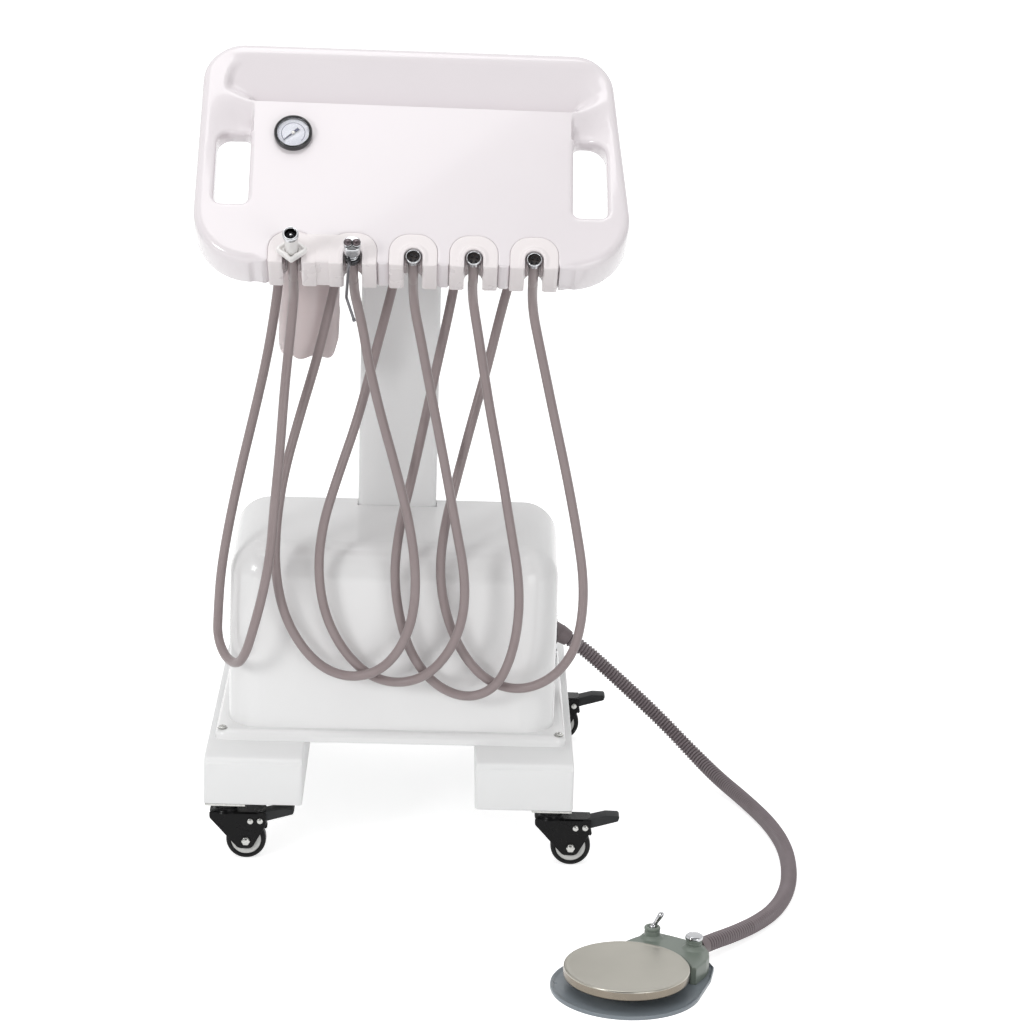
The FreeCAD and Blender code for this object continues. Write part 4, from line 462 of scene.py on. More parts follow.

# ---- hoses

# Each instrument hose hangs in a loop from the console's underside to its instrument, along listed
# points: it leaves its gland, falls, turns round below, rises and reaches the instrument.
# The hoses share Y and Z on the way down and up, apart from the first, whose loop lies closer in.
LEAVE = [(-177.6, 775.1), (-156.9, 757.7)]
DOWN = [(-145.5, 733), (-146, 685), (-151, 620), (-161, 550), (-172, 480), (-181, 420), (-187, 362)]
UP = [(-216, 316), (-213, 368), (-208, 430), (-203, 500), (-197, 570), (-191, 630), (-188, 664),
    (-190.2, 691)]
REACH = [(-202.9, 718.6), (-225.8, 737.9)]
GLAND_TO_HOLDER = 16
# Body at the end, length in metres, X of the gland, X on the way down, loop, X on the way up.
HOSES = [
    ("suction_handpiece", 1.11, -142, (-146,), [(-151, -146, 685), (-161, -148, 620),
     (-176, -151, 550), (-192, -154, 480), (-206, -156, 410), (-216, -155, 346), (-219, -152, 294),
     (-220, -152, 262), (-208.5, -170.5, 240), (-191.5, -197.5, 240), (-180, -216, 262),
     (-171, -217, 294), (-160, -216, 338), (-151, -213, 390), (-147, -208, 450), (-141, -203, 520),
     (-137, -197, 590), (-132, -190, 648), (-128, -190.2, 691)], ()),
    ("syringe", 1.18, -70, (-75, -85, -100, -120, -138, -146, -147), [(-136, -190, 306),
     (-112, -192, 262), (-82, -196, 235), (-47, -202, 228), (-13, -209, 241), (12, -214, 273)],
     (26, 28, 19, 0, -21, -36, -42, -48)),
    ("coupler_3", 1.2, 1, (-4, -15, -31, -48, -71, -89, -94), [(-85, -189, 306), (-61, -189, 258),
     (-27, -191, 226), (10, -198, 220), (45, -208, 235), (73, -214, 271)],
     (88, 88, 75, 61, 46, 33, 26, 20)),
    ("coupler_4", 1.21, 72, (69, 61, 48, 34, 20, 6, 0), [(7, -190, 306), (25, -191, 252),
     (57, -193, 215), (96, -199, 203), (130, -208, 221), (148, -214, 263)],
     (156, 154, 142, 129, 114, 103, 97, 92)),
    ("coupler_5", 1.21, 144, (136, 124, 110, 92, 75, 61, 56), [(66, -190, 306), (88, -191, 257),
     (119, -193, 224), (158, -199, 215), (196, -208, 232), (224, -214, 268)],
     (234, 234, 223, 208, 191, 177, 169, 163))
]
# The foot hose comes down from the cover's right side and runs along the floor to the foot control.
FOOT_ROUTE = [(218, 93, 197), (244, 92, 182), (281, 91, 150), (320, 89, 115), (359, 86, 79),
    (397, 70, 44), (432, 34, 19), (465, -30, 11), (490, -108, 10), (502, -190, 11), (501, -268, 10),
    (491, -338, 11), (472, -394, 10), (445, -440, 11), (412, -482, 14), (389, -508, 17),
    (367.5, -532, 18)]


def as_mesh(curve):
    """The points of a curve or a text, and its triangles, each with its first corner doubled."""
    holder = placed(curve.name, curve)
    mesh = bpy.data.meshes.new_from_object(holder)
    mesh.calc_loop_triangles()
    points = np.zeros(len(mesh.vertices) * 3)
    corners = np.zeros(len(mesh.loop_triangles) * 3, np.int32)
    mesh.vertices.foreach_get("co", points)
    mesh.loop_triangles.foreach_get("vertices", corners)
    bpy.data.objects.remove(holder)
    bpy.data.meshes.remove(mesh)
    corners = corners.reshape(-1, 3)
    return points.reshape(-1, 3), np.c_[corners, corners[:, 0]]


def route_line(route, fineness):
    """The smooth line of a hose in metres: a quadratic NURBS spline held by the route's points."""
    curve = bpy.data.curves.new("route", "CURVE")
    curve.dimensions, curve.resolution_u = "3D", fineness
    spline = curve.splines.new("NURBS")
    spline.points.add(len(route) - 1)
    spline.points.foreach_set("co", np.c_[np.array(route, float) * MM, np.ones(len(route))].ravel())
    spline.order_u = 3
    spline.use_endpoint_u = True
    return as_mesh(curve)[0]


def lay_instrument_hoses():
    """Five smooth hoses, each from a tapered relief."""
    reliefs = []
    for number, (body, length, gland, down, loop, up) in enumerate(HOSES, 1):
        route = [(gland, *p) for p in LEAVE] + [(x, *p) for x, p in zip(down, DOWN)] + loop
        route += [(x, *p) for x, p in zip(up, UP)] + [(gland + GLAND_TO_HOLDER, *p) for p in REACH]
        line = route_line(route, 14)
        name = "silicone_hose_%d" % number
        hose = piece(name, [(tube(line / MM, 5.9, (0, 1, 0), 20), SILICONE)], body=None)
        node = "instrument_hose_%d" % number
        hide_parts(node)
        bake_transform(hose)
        near = line[np.linalg.norm(line - line[0], axis=1) < 0.018] / MM
        reliefs.append(tube(near, np.linspace(8.4, 6.2, len(near)), (1, 0, 0), 28))
    piece("instrument_hose_reliefs", [(joined(*reliefs), RELIEF_RUBBER)])


def lay_foot_hose():
    """A corrugated hose: radius 8.9 + 1.1 cos(2 pi s / pitch) at length s along the line, with
    painted shade darkening its grooves, and a tapered relief at each end."""
    line = route_line(FOOT_ROUTE, 16)
    runs = np.r_[0, np.cumsum(np.linalg.norm(np.diff(line, axis=0), axis=1))]
    pitch = 0.0045
    steps = int(runs[-1] / pitch * 8)
    s = np.linspace(0, runs[-1], steps)
    fine = np.stack([np.interp(s, runs, line[:, k]) for k in range(3)], -1)
    radius = 8.9 + 1.1 * np.cos(2 * math.pi * s / pitch)
    points, faces = tube(fine / MM, radius, (0, 0, 1), 20)
    # Faces in the grooves take a darker copy of the PVC: painted shade.
    groove = np.r_[9, radius, 9][faces // 20].mean(1) < 8.4
    hose = piece("corrugated_hose", [((points, faces[~groove]), CORRUGATED_PVC),
        ((points, faces[groove]), GROOVE_SHADE_PVC)], replaces=["foot_hose"])
    ends = [tube(part, np.linspace(12.4, 10.4, len(part)), (0, 0, 1), 28)
        for part in (line[runs < 0.016] / MM, line[runs > runs[-1] - 0.016][::-1] / MM)]
    piece("foot_hose_reliefs", [(joined(*ends), RELIEF_RUBBER)])


lay_instrument_hoses()
lay_foot_hose()

# ---- console

DECK_PLAN = [(-258, -129.5), (268.5, -129.5), (236.5, 164), (-253.5, 169)]
TRAY_LIP, LIP_SLOPE, LIP_END = 85.5, 2.5, 190
GAUGE_U, GAUGE_V, GAUGE_HOLE = -142.5, 42, 20
BAY_HALF, ARCH_HALF, ARCH_TOP, ARCH_ROUND = 28.8, 28.6, 30, 24
NOTCH, HOLDER_FRONT = 11, -12
CONSOLE_FOOT, HAND_ROOM = -58, 24


def tray_lip(u):
    """The tray's front edge, which runs a little out of square."""
    return TRAY_LIP - LIP_SLOPE * np.clip(u / LIP_END, -1, 1)


def deck_height(u, v):
    """The moulding's face: a tray 20 (1 - s) deep, where s runs from its lip to its crest, closed
    by a crease at the left and a bulge at the right; a scoop by each hand grip; a raised rim."""
    side, lip = np.abs(u), tray_lip(u)
    ridge = lip + 0.5 * np.clip(side - 190, 0, 44)
    foot = ridge - 0.3 - 5 * smooth(side, 190, 200)
    fall = smooth(v, foot, ridge + 3.2 + 13 * smooth(side, 188, 202))
    crease = -219 - 0.2 * (149 - v)
    ends = smooth(u, crease - 2, crease + 6 + 14 * smooth(v, 128, 150)) * (1 - smooth(u, 198, 238))
    tray = -20 * np.clip(1 - (v - lip) / 61, 0, 1) * fall * ends
    scoop = smooth(side, 190, 193.2) * (1 - smooth(side, 204, 249))
    scoop = -11.5 * scoop * (1 - smooth(v, 54, ridge - 2)) * smooth(v, -62, 34)
    rim = 1.8 * smooth(v, lip + 58, lip + 70) * (1 - smooth(v, 154, 166))
    return tray + scoop + rim * (1 - smooth(side, 200, 240))


def shape_console():
    """The console's moulding, with its hand grips, holder bays and gauge hole open."""
    outline = loop_edge(DECK_PLAN, (70, 70, 50, 50))
    grips = [loop_edge([(-234, -52), (-193, -52), (-193, 48), (-234, 48)], (9, 9, 9, 17)),
        loop_edge([(193, -60), (235, -60), (232, 48), (193, 48)], (9, 9, 24, 9))]
    bay = loop_edge([(-BAY_HALF, -200), (BAY_HALF, -200), (BAY_HALF, 30.3), (-BAY_HALF, 30.3)],
        (1, 1, ARCH_ROUND, ARCH_ROUND))
    grip_roll, bay_roll, hole_roll = 5, 0.9, 0.2

    def roll(u, v):
        """The outer edge is rolled tighter along the holders."""
        along = smooth(u, -188, -170) * (1 - smooth(u, 178, 196))
        return 9 - 6.5 * along * (1 - smooth(v, -110, -60))

    def rims(u, v):
        bays = np.stack([bay(u - holder_u(n), v - HOLDER_V) for n in range(1, 6)]).min(0)
        hole = np.hypot(u - GAUGE_U, v - GAUGE_V) - GAUGE_HOLE
        return np.stack([outline(u, v) + roll(u, v), grip_roll - grips[0](u, v),
            grip_roll - grips[1](u, v), bay_roll - bays, hole_roll - hole])

    def under(u, v):
        open_below = smooth(np.abs(u), 185, 187) * smooth(v, -77, -75)
        return CONSOLE_FOOT + HAND_ROOM * open_below

    def roll_at(u, v):
        fixed = np.array([0, grip_roll, grip_roll, bay_roll, hole_roll])
        which = rims(u, v).argmax(0)
        return np.where(which == 0, roll(u, v), fixed[which])

    lip = TRAY_LIP + np.array([-1.2, -0.3, 0.3, 0.9, 1.5, 2.1, 2.8, 4])
    us = np.sort(np.r_[np.arange(-262, 272, 2.7), -194, -192, -191, -190, 190, 191, 192, 194])
    vs = np.r_[np.arange(-132, 84, 2.7), lip, np.arange(92, 173, 2.7)]

    def follow(u, v):
        """The grid's lines bend to run along the tray's lip."""
        return u, v - LIP_SLOPE * np.clip(u / LIP_END, -1, 1) * smooth(v, 40, 80)

    body = plate(us, vs, lambda u, v: rims(u, v).max(0), deck_height, under, roll_at, 5, follow)
    piece("console_moulding", [(body, GELCOAT)], on_console(), ["console_shell"],
        46)


def shape_holders():
    """Five arched holders with a soft collar round the open notch, a web between the first two, and
    the spring clip under each instrument's head."""
    arch = loop_edge([(-ARCH_HALF, HOLDER_FRONT), (ARCH_HALF, HOLDER_FRONT), (ARCH_HALF, ARCH_TOP),
        (-ARCH_HALF, ARCH_TOP)], (2, 2, ARCH_ROUND, ARCH_ROUND))

    def notch(x, y):
        return np.where(y > 0, np.hypot(x, y), np.abs(x)) - NOTCH

    def face(x, y):
        d = notch(x, y)
        ring = smooth(d, -0.5, 1.6) * (1 - smooth(d, 3.4, 6.4)) * smooth(y, -11, -5)
        return 0.9 + 1.9 * ring - 0.5 * (1 - smooth(d, -0.5, 1.2))

    def clip_edge(x, y):
        across = np.maximum(notch(x, y) + 0.4, -3.2 - notch(x, y)) + 0.3
        return np.maximum(across, -11.8 - y)

    def clip_foot(x, y):
        return -19 + 0.25 * (y + 12)

    block = cut((-31.5, 32, 1.5), (-13.5, 32, 1.5),
        lambda x, y: np.maximum(arch(x, y), -notch(x, y)), face, CONSOLE_FOOT, 1.2, 0.8)
    web = slab(20, 19.1, -57.5, 0.8, 1.5, 2.2, 2, 0.8)
    holders = [(moved(block, at(holder_u(n), HOLDER_V)), HOLDER_ABS) for n in range(1, 6)]
    # The web stands just before the console's own tongue, and behind the holders' fronts.
    holders.append((moved(web, at((holder_u(1) + holder_u(2)) / 2, HOLDER_V + 8.8)), HOLDER_ABS))
    clip = plate((-11.5, 12, 0.8), (-13, 12, 0.8), clip_edge, -3.5, clip_foot, 0.3)
    clips = [(moved(clip, at(holder_u(n), HOLDER_V)), CLIP_NYLON) for n in range(1, 6)]
    piece("arched_holders", holders + clips, on_console(), ["holders"], crease=40)


# The gauge's scale runs clockwise from its start by the sweep, in degrees; its print has a level.
GAUGE_START, GAUGE_SWEEP, GAUGE_TICKS = 225, 270, 50
PRINT_LEVEL = 3.55


def shape_gauge():
    """A pressure gauge: rolled black case, printed card, counterweighted needle, domed lens."""
    case = turned(eased([(0, -24), (20, -24), (20, -0.2), (22.6, 0), (23, 3), (22.9, 7.6),
        (21, 9.5), (19.6, 8.4), (19.3, 3), (0, 2.6)], 1.2), 96)
    dome = [(19.2 * math.cos(t), 7.2 + 1.3 * math.sin(t)) for t in np.linspace(0, math.pi / 2, 9)]
    lens = turned([(0, 6.3), (19, 6.3), (19.2, 7.2)] + dome)
    gauge = on_console(GAUGE_U, GAUGE_V)
    piece("gauge_bezel", [(case, BLACK_LACQUER)], gauge, ["gauge_case"])
    piece("gauge_lens", [(lens, LENS)], gauge, ["gauge_glass"])
    card = slab(19, 19, 2.7, 3.4, 19, 0.2, 2)
    ticks = []
    for share in range(GAUGE_TICKS + 1):
        turn = math.radians(GAUGE_START - GAUGE_SWEEP * share / GAUGE_TICKS)
        half, wide, reach = (1, 0.2, 16.7) if share % 5 else (1.9, 0.4, 15.9)
        tick = slab(half, wide, 3.3, PRINT_LEVEL, 0.05, 0.02, 2)
        place = at(reach * math.cos(turn), reach * math.sin(turn), 0, math.degrees(turn))
        ticks.append(moved(tick, place))
    a = np.radians(np.linspace(GAUGE_START - GAUGE_SWEEP, GAUGE_START, 61))[:, None]
    r = np.array([13.6, 14.2])
    arc = np.stack(np.broadcast_arrays(r * np.cos(a), r * np.sin(a), PRINT_LEVEL), -1)
    ticks.append((arc.reshape(-1, 3), quads(len(a), 2)))
    figures = []
    for number in range(0, 11, 2):
        turn = math.radians(GAUGE_START - GAUGE_SWEEP / 10 * number)
        place = at(10.8 * math.cos(turn), 10.8 * math.sin(turn), PRINT_LEVEL)
        figures.append((lettering(str(number), 4.6, place), DIAL_INK))
    item = piece("gauge_card", [(card, DIAL_WHITE), (joined(*ticks), DIAL_INK)] + figures, gauge,
        ["gauge_dial"])
    item.data.validate()
    blade = loop_edge([(-8.5, -1.9), (-2, -1.5), (14.6, -0.25), (14.6, 0.25), (-2, 1.5),
        (-8.5, 1.9)], 0.1)
    needle = cut((-9, 15.4, 0.6), (-2.1, 2.4, 0.3), blade, 4.7, 4.1, 0.1)
    hub = turned([(0, 3.5), (0.7, 3.5), (0.7, 3.9), (2.3, 3.9), (2.4, 4.8), (1.6, 5.3), (0, 5.4)],
        32)
    piece("gauge_pointer", [(needle, NEEDLE), (hub, ZINC)], gauge @ at(turn=222),
        body="gauge_needle")


def lettering(text, height, place):
    """A word's flat outline as a surface in millimetres, set at a place."""
    curve = bpy.data.curves.new("figure", "FONT")
    curve.body, curve.size = text, height
    curve.align_x, curve.align_y = "CENTER", "CENTER"
    return moved(as_mesh(curve), place)


# ---- instruments

TAIL = -5.6
SLEEVE_RADIUS = 6.2
BUTTON_X = 4.9


def sleeve(high, radius):
    """The hose's soft end pushed over an instrument's tail, a little stretched by it."""
    return turned(eased([(0, -60), (5.9, -60), (5.95, -44), (radius, -30), (radius, high),
        (0, high)], 0.6, 4), 40)


def shape_couplers():
    """Handpiece couplers: plated ring with a bead, dark face with four ports, hose sleeve."""
    ring = turned(eased([(6.4, TAIL), (9.1, TAIL), (9.2, -1), (9.2, 1), (8.6, 1.9), (7.9, 1.9),
        (7.5, 1), (7.5, -3), (6.4, TAIL)], 0.4), 64)
    face = turned([(0, -2.6), (6.4, -2.6), (7.55, -2.2), (7.55, -4), (0, -4)], 48)
    # The ports' dark steel is painted shade in the holes.
    port = turned([(0.9, -2.7), (0.9, -1.2), (1.6, -1.2), (1.6, -2.7), (0.9, -2.7)], 20)
    spots = ((0.6, 4.2), (2.1, 4), (3.8, 3.8), (5.3, 4.4))
    ports = joined(*[moved(port, at(r * math.cos(a), r * math.sin(a))) for a, r in spots])
    for number in (3, 4, 5):
        name = "coupler_%d" % number
        piece("handpiece_" + name, [(ring, CHROME), (face, GASKET), (ports, DARK_STEEL_BORE_SHADE),
            (sleeve(TAIL, SLEEVE_RADIUS), SILICONE)], on_console(holder_u(number), HOLDER_V),
            body=name)


def shape_suction():
    """Suction handpiece: tapered white tube with a plated mouth, and its diamond valve ring."""
    tube_body = turned(eased([(0, 3), (7.4, 3), (7.2, 14), (7.8, 28), (9.1, 41), (9.3, 46),
        (6.8, 46), (6.8, 40)], 1.5), 56)
    mouth = turned(eased([(6.6, 46), (6.7, 49.4), (7.4, 50.4), (8.8, 50.4), (9.6, 48.8),
        (9.6, 44.5), (8.8, 44.5)], 0.5), 64)
    # The bore's dark steel is painted shade inside the mouth.
    bore = turned(eased([(0, 41), (4.4, 41), (6.6, 43), (6.65, 49), (6.9, 49.4)], 0.6), 48)
    nub = turned([(0, 40.5), (3.6, 40.8), (3.2, 44), (1.4, 46.4), (0, 46.8)], 28)
    place = on_console(holder_u(1), HOLDER_V)
    piece("suction_tube", [(tube_body, WHITE_PP), (mouth, CHROME), (bore, DARK_STEEL_BORE_SHADE),
        (nub, CHROME), (sleeve(4, 6.6), SILICONE)], place, body="suction_handpiece")

    def diamond(x, y):
        return (np.abs(x) * 0.62 + np.abs(y) * 0.785) - 12.6

    def rims(x, y):
        return np.maximum(diamond(x, y) + 1.9, 1.6 + 7.7 - np.hypot(x, y))

    def lip(x, y):
        return 14.5 - 4 * smooth(-diamond(x, y), 3.4, 4.4)
    ring = plate((-20.5, 21, 0.7), (-16.5, 17, 0.7), rims, lip, 4.6, 1.6, 1.4)
    piece("suction_valve_ring", [(ring, WHITE_PP)], place, crease=40, body="suction_valve")


def shape_syringe():
    """Three-way syringe: head of superelliptic section (|x/a|^3 + |y/b|^3 = 1), two button wells,
    a shield-shaped front, knurled nut, and hose sleeve."""
    def square(a, r, h):
        grow = (np.abs(np.cos(a)) ** 3 + np.abs(np.sin(a)) ** 3) ** (-1 / 3)
        return r * (1 + (grow - 1) * smooth(h, 4, 12)), h
    head = turned(eased([(0, TAIL), (8.9, TAIL), (9.2, 3), (7.2, 5.5), (7.6, 8), (9.4, 13),
        (9.9, 18), (9.9, 28), (9, 30), (0, 30)], 1.2, 5), 72, square)
    nut = turned(eased([(0, -3), (9.2, -3), (9.4, 4.4), (8.4, 5.4), (0, 5.4)], 0.6), 64,
        lambda a, r, h: (r * (1 + 0.02 * np.cos(20 * a) * smooth(r, 7, 9)), h))
    collar = turned(eased([(0, 4), (6.8, 4), (6.9, 7.2), (5.6, 7.8), (0, 7.8)], 0.5), 56)
    nut, collar = moved(nut, at(0, -3.4)), moved(collar, at(0, -3.8))
    well = turned([(4.6, 29.5), (5.3, 29.5), (5.35, 31.6), (5, 32), (4.65, 31.6), (4.6, 29.5)], 36)
    wells = [moved(well, at(x)) for x in (-BUTTON_X, BUTTON_X)]
    front = loop_edge([(-7, 1), (0, -9), (7, 1), (7, 9), (-7, 9)], (2, 1.5, 2, 4, 4))
    shield = cut((-8, 8.4, 0.8), (-10, 10, 0.8), front, 0.9, -1, 0.5)
    shield = moved(shield, at(0, -9.4, 19, 90, "X"))
    outlet = moved(slab(2.4, 2.4, 0, 12.4, 1.6, 0.6, 1.2), at(-3.5, 0.5, 5.5, 90, "X"))
    place = on_console(holder_u(2), HOLDER_V)
    piece("syringe_handle", [(head, CHROME), (nut, DARK_STEEL_BORE_SHADE), (collar, CHROME),
        (joined(*wells), CHROME), (shield, SATIN_CHROME), (outlet, DARK_STEEL_BORE_SHADE),
        (sleeve(TAIL, SLEEVE_RADIUS), SILICONE)], place, ["syringe_body"], crease=40,
        body="syringe")
    cap = turned(eased([(0, 26), (4.5, 26), (4.5, 32.8), (3.8, 34.2), (1.6, 35), (0, 35.2)], 0.7),
        36)
    for tag, x in (("water", -BUTTON_X), ("air", BUTTON_X)):
        piece("syringe_%s_button" % tag, [(cap, BUTTON_GREY)], place @ at(x), body=tag + "_button")
    line = eased([(-3.5, -10, 5.5), (-3.5, -15.5, 5.2), (-4.2, -17, 1), (-8, -17, -73),
        (-7.4, -17.8, -77), (1, -31, -105)], 3, 7)
    width = np.interp(np.arange(len(line)), [0, len(line) - 1], [1.9, 1.75])
    nozzle = tube(line, width, (1, 0.2, 0), 20)
    tip = tube([(0.6, -30.4, -103.5), (1.4, -31.7, -106.2)], 2.1, (1, 0.2, 0), 20)
    piece("syringe_spout", [(joined(nozzle, tip), DRAWN_STEEL)], place, ["syringe_nozzle"],
        body="syringe")


# ---- base

FOOT_X, FOOT_HALF_X, FOOT_HALF_Y = 168, 61, 254
FOOT_LOW, FOOT_HIGH = 77, 137
HOLLOW_HALF_X, HOLLOW_HALF_Y, FOOT_WALL = 57, 170, 4


def shape_feet():
    """Box feet, bent over at their ends: height = 137 - 8 (1 - sqrt(1 - 0.96 t^2)), where t goes
    from 0 to 1 on the last stretch. They are open below between the caster plates."""
    ends = FOOT_HALF_Y - np.array([8.2, 6, 4.2, 2.6, 1.4, 0.6, 0])
    middle = np.r_[170.2, 198, 220, 242]
    xs = np.sort(np.r_[np.arange(-61, 62, 4), -57.2, -56.8, 56.8, 57.2])
    ys = np.r_[-ends[::-1], -middle[::-1], np.arange(-169.8, 170, 24.257), middle, ends]

    def bent(u, v):
        near = np.clip((np.abs(v) - FOOT_HALF_Y + 11.5) / 9, 0, 1)
        return FOOT_HIGH - 8 * (1 - np.sqrt(1 - 0.96 * near ** 2))

    def hollow(u, v):
        inside = (np.abs(u) < HOLLOW_HALF_X) * (np.abs(v) < HOLLOW_HALF_Y)
        return FOOT_LOW + (FOOT_HIGH - FOOT_LOW - FOOT_WALL) * inside
    body = cut(xs, ys, lambda u, v: box_edge(u, v, FOOT_HALF_X, FOOT_HALF_Y, 4), bent, hollow, 2.5,
        2)
    for name, x in (("left", -FOOT_X), ("right", FOOT_X)):
        piece("box_foot_" + name, [(body, POWDER_COAT)], at(x, -1), ["foot_" + name],
            30)


# The screws' X and Y, and how far each is turned.
SCREWS = [(-211, -178, 20), (211, -178, 70), (-211, 172, 40), (211, 172, 5)]
RIM_TOP = 150


def shape_screws():
    """Pan-head screws with a cross recess: height = 2.3 + 1 - (r/5)^2, less the cross."""
    def face(x, y):
        dome = 2.3 + (1 - (x * x + y * y) / 25)
        x, y = np.abs(x), np.abs(y)
        arm = np.minimum(np.maximum(x / 2.9, y / 0.62), np.maximum(y / 2.9, x / 0.62))
        return dome - 1.3 * (1 - smooth(arm, 0.8, 1.1))
    span = (-5.2, 5.3, 0.4)
    head = plate(span, span, lambda x, y: np.hypot(x, y) - 4.7, face, -0.1, 0.3)
    washer = turned([(0, -0.2), (6.3, -0.2), (6.5, 0.2), (5, 0.5), (0, 0.5)], 36)
    heads = [moved(joined(moved(head, at(turn=t)), washer), at(x, y, RIM_TOP))
        for x, y, t in SCREWS]
    piece("rim_screws", [(joined(*heads), ZINC)], None, ["cover_screws"], 30)


AXLE_X, AXLE_Z = 25.5, 25
CASTER_X, CASTER_Y = 202.5, {"front": -231, "back": 228}


def shape_casters():
    """Swivel casters: pressed fork with rolled edges, wheel with a grey centre, brake pedal."""
    race = turned(eased([(5.2, 74.2), (18, 74.2), (18.4, 70), (14.5, 67.5), (15.5, 64),
        (17.5, 60.8), (5.2, 60.6)], 1.2), 48)
    crown = moved(slab(35, 13.6, 60.6, 63.3, 9, 1, 2.5, 0.4), at(15))
    cheek_plan = loop_edge([(-20, 55), (16, 15), (33, 15), (50, 46), (50, 63), (-20, 63)],
        (3, 8, 8, 4, 1, 1))
    cheek = cut((-21, 52, 2.2), (13, 65, 2.2), cheek_plan, 2.1, 0, 0.8, 0.3)
    cheeks = [moved(cheek, at(0, y, 0, 90, "X")) for y in (13.6, -11.5)]
    bolt = eased([(0, 0), (5.6, 0), (5.6, 1.6), (4.6, 3.2), (2, 3.9), (0, 4)], 0.7)
    bolts = []

    def hexed(a, r, h):
        return r * (1 + 0.06 * np.cos(6 * a)), h
    for x, z, size in ((AXLE_X, AXLE_Z, 1), (31, 51.5, 0.72), (43, 52, 0.72)):
        for side in (-1, 1):
            head = turned([(r * size, h * size) for r, h in bolt], 36, hexed if size == 1 else None)
            bolts.append(moved(head, at(x, 13.5 * side, z, -90 * side, "X")))
    hook = loop_edge([(40, 47), (50, 38), (52, 41), (50, 52)], (1, 1, 1, 1))
    tongue = moved(cut((39, 54, 1), (37, 54, 1), hook, 5, -5, 0.3), at(turn=90, axis="X"))
    axle = moved(turned([(0, -13), (3, -13), (3, 13), (0, 13)], 24), at(AXLE_X, 0, AXLE_Z, 90, "X"))
    tyre = [(18.6, -6.4), (19, -8.6), (22.4, -9), (24.9, -6.6)]
    tyre = turned(eased(tyre + [(25, 0)] + flipped(tyre), 2.6, 5), 72)
    hub = [(3.1, -11.1), (7.5, -11.1), (8.2, -6.4), (11, -6.2), (12.4, -8.2), (16.6, -8.4),
        (18.9, -7.6)]
    hub = turned(eased(hub + flipped(hub) + hub[:1], 0.9), 72)
    rim = loop_edge([(35, 46), (84, 60), (86, 67), (68, 67.5), (35.5, 59)], (3, 2, 2, 4, 2))
    pedal = cut((34, 88, 1.7), (45, 69, 1.2), rim, 10.6, -10.6, 1.4, 1.4)
    ribs = [moved(slab(0.7, 8.5, 0, 1, 0.4, 0.3, 1.4), at(x, 0, 66.8 + 0.02 * (x - 70)))
        for x in (70, 73, 76, 79, 82)]
    pedal = moved(pedal, at(turn=90, axis="X"))
    for end, y in CASTER_Y.items():
        for hand, x in (("left", -CASTER_X), ("right", CASTER_X)):
            corner = "%s_%s" % (end, hand)
            place = at(x, y)
            piece("fork_" + corner, [(race, BLACK_COAT), (crown, BLACK_COAT),
                (joined(*cheeks, tongue), BLACK_COAT), (joined(*bolts, axle), ZINC)], place,
                crease=34, body="caster_fork_" + corner)
            piece("wheel_" + corner, [(tyre, TYRE), (hub, HUB_NYLON)],
                place @ at(AXLE_X, 0, AXLE_Z, 90, "X"), crease=34, body="caster_wheel_" + corner)
            piece("pedal_" + corner, [(pedal, PEDAL_NYLON), (joined(*ribs), PEDAL_NYLON)], place,
                crease=34, body="brake_pedal_" + corner)


def shape_bottle():
    """A blown bottle: five petals, r = r0 (1 - 0.035 (1 + cos 5a)) near its foot, a shallow panel
    above, and a wall a millimetre thick."""
    outer = eased([(0, 8), (22, 5), (30, 0.6), (35, 3), (38, 16), (38, 60), (37.3, 64), (37.3, 150),
        (38, 156), (37, 176), (30, 200), (16, 216), (12.9, 221), (12.9, 240)], 6, 6)
    inner = eased([(11.9, 240), (11.9, 221.4), (15.2, 215.4), (29.1, 199.4), (36, 175.8), (37, 156),
        (36.3, 150), (36.3, 64), (37, 60), (37, 16), (34, 4), (30, 2.2), (22, 6.4), (0, 9.4)], 6, 6)

    def petals(a, r, h):
        low = (1 - smooth(h, 6, 34)) * smooth(r, 6, 26)
        return r * (1 - 0.035 * (1 + np.cos(5 * a)) * low), h + 2.6 * (1 + np.cos(5 * a)) * low
    body = turned(np.r_[outer, inner], 90, petals)
    piece("blown_bottle", [(body, PET)], at(-112, -95, 613), None, 50,
        "water_bottle")


# ---- foot control


HOUSING = [(80, 8), (94, 32), (98, 45), (98.5, 60), (92, 76), (76, 90), (59, 101), (45, 109),
    (27, 106), (12, 94), (2, 84), (0, 60), (60, 0)]
PEDAL_PLACE, TOGGLE, CAP = (281.5, -611), (34, 94), (81, 65)
FLOOR_WING = [(60, -62), (82.4, -27.6), (99, 22), (105, 56), (99, 74), (80, 93), (47, 113),
    (22, 110), (-20, 78), (-20, 0)]


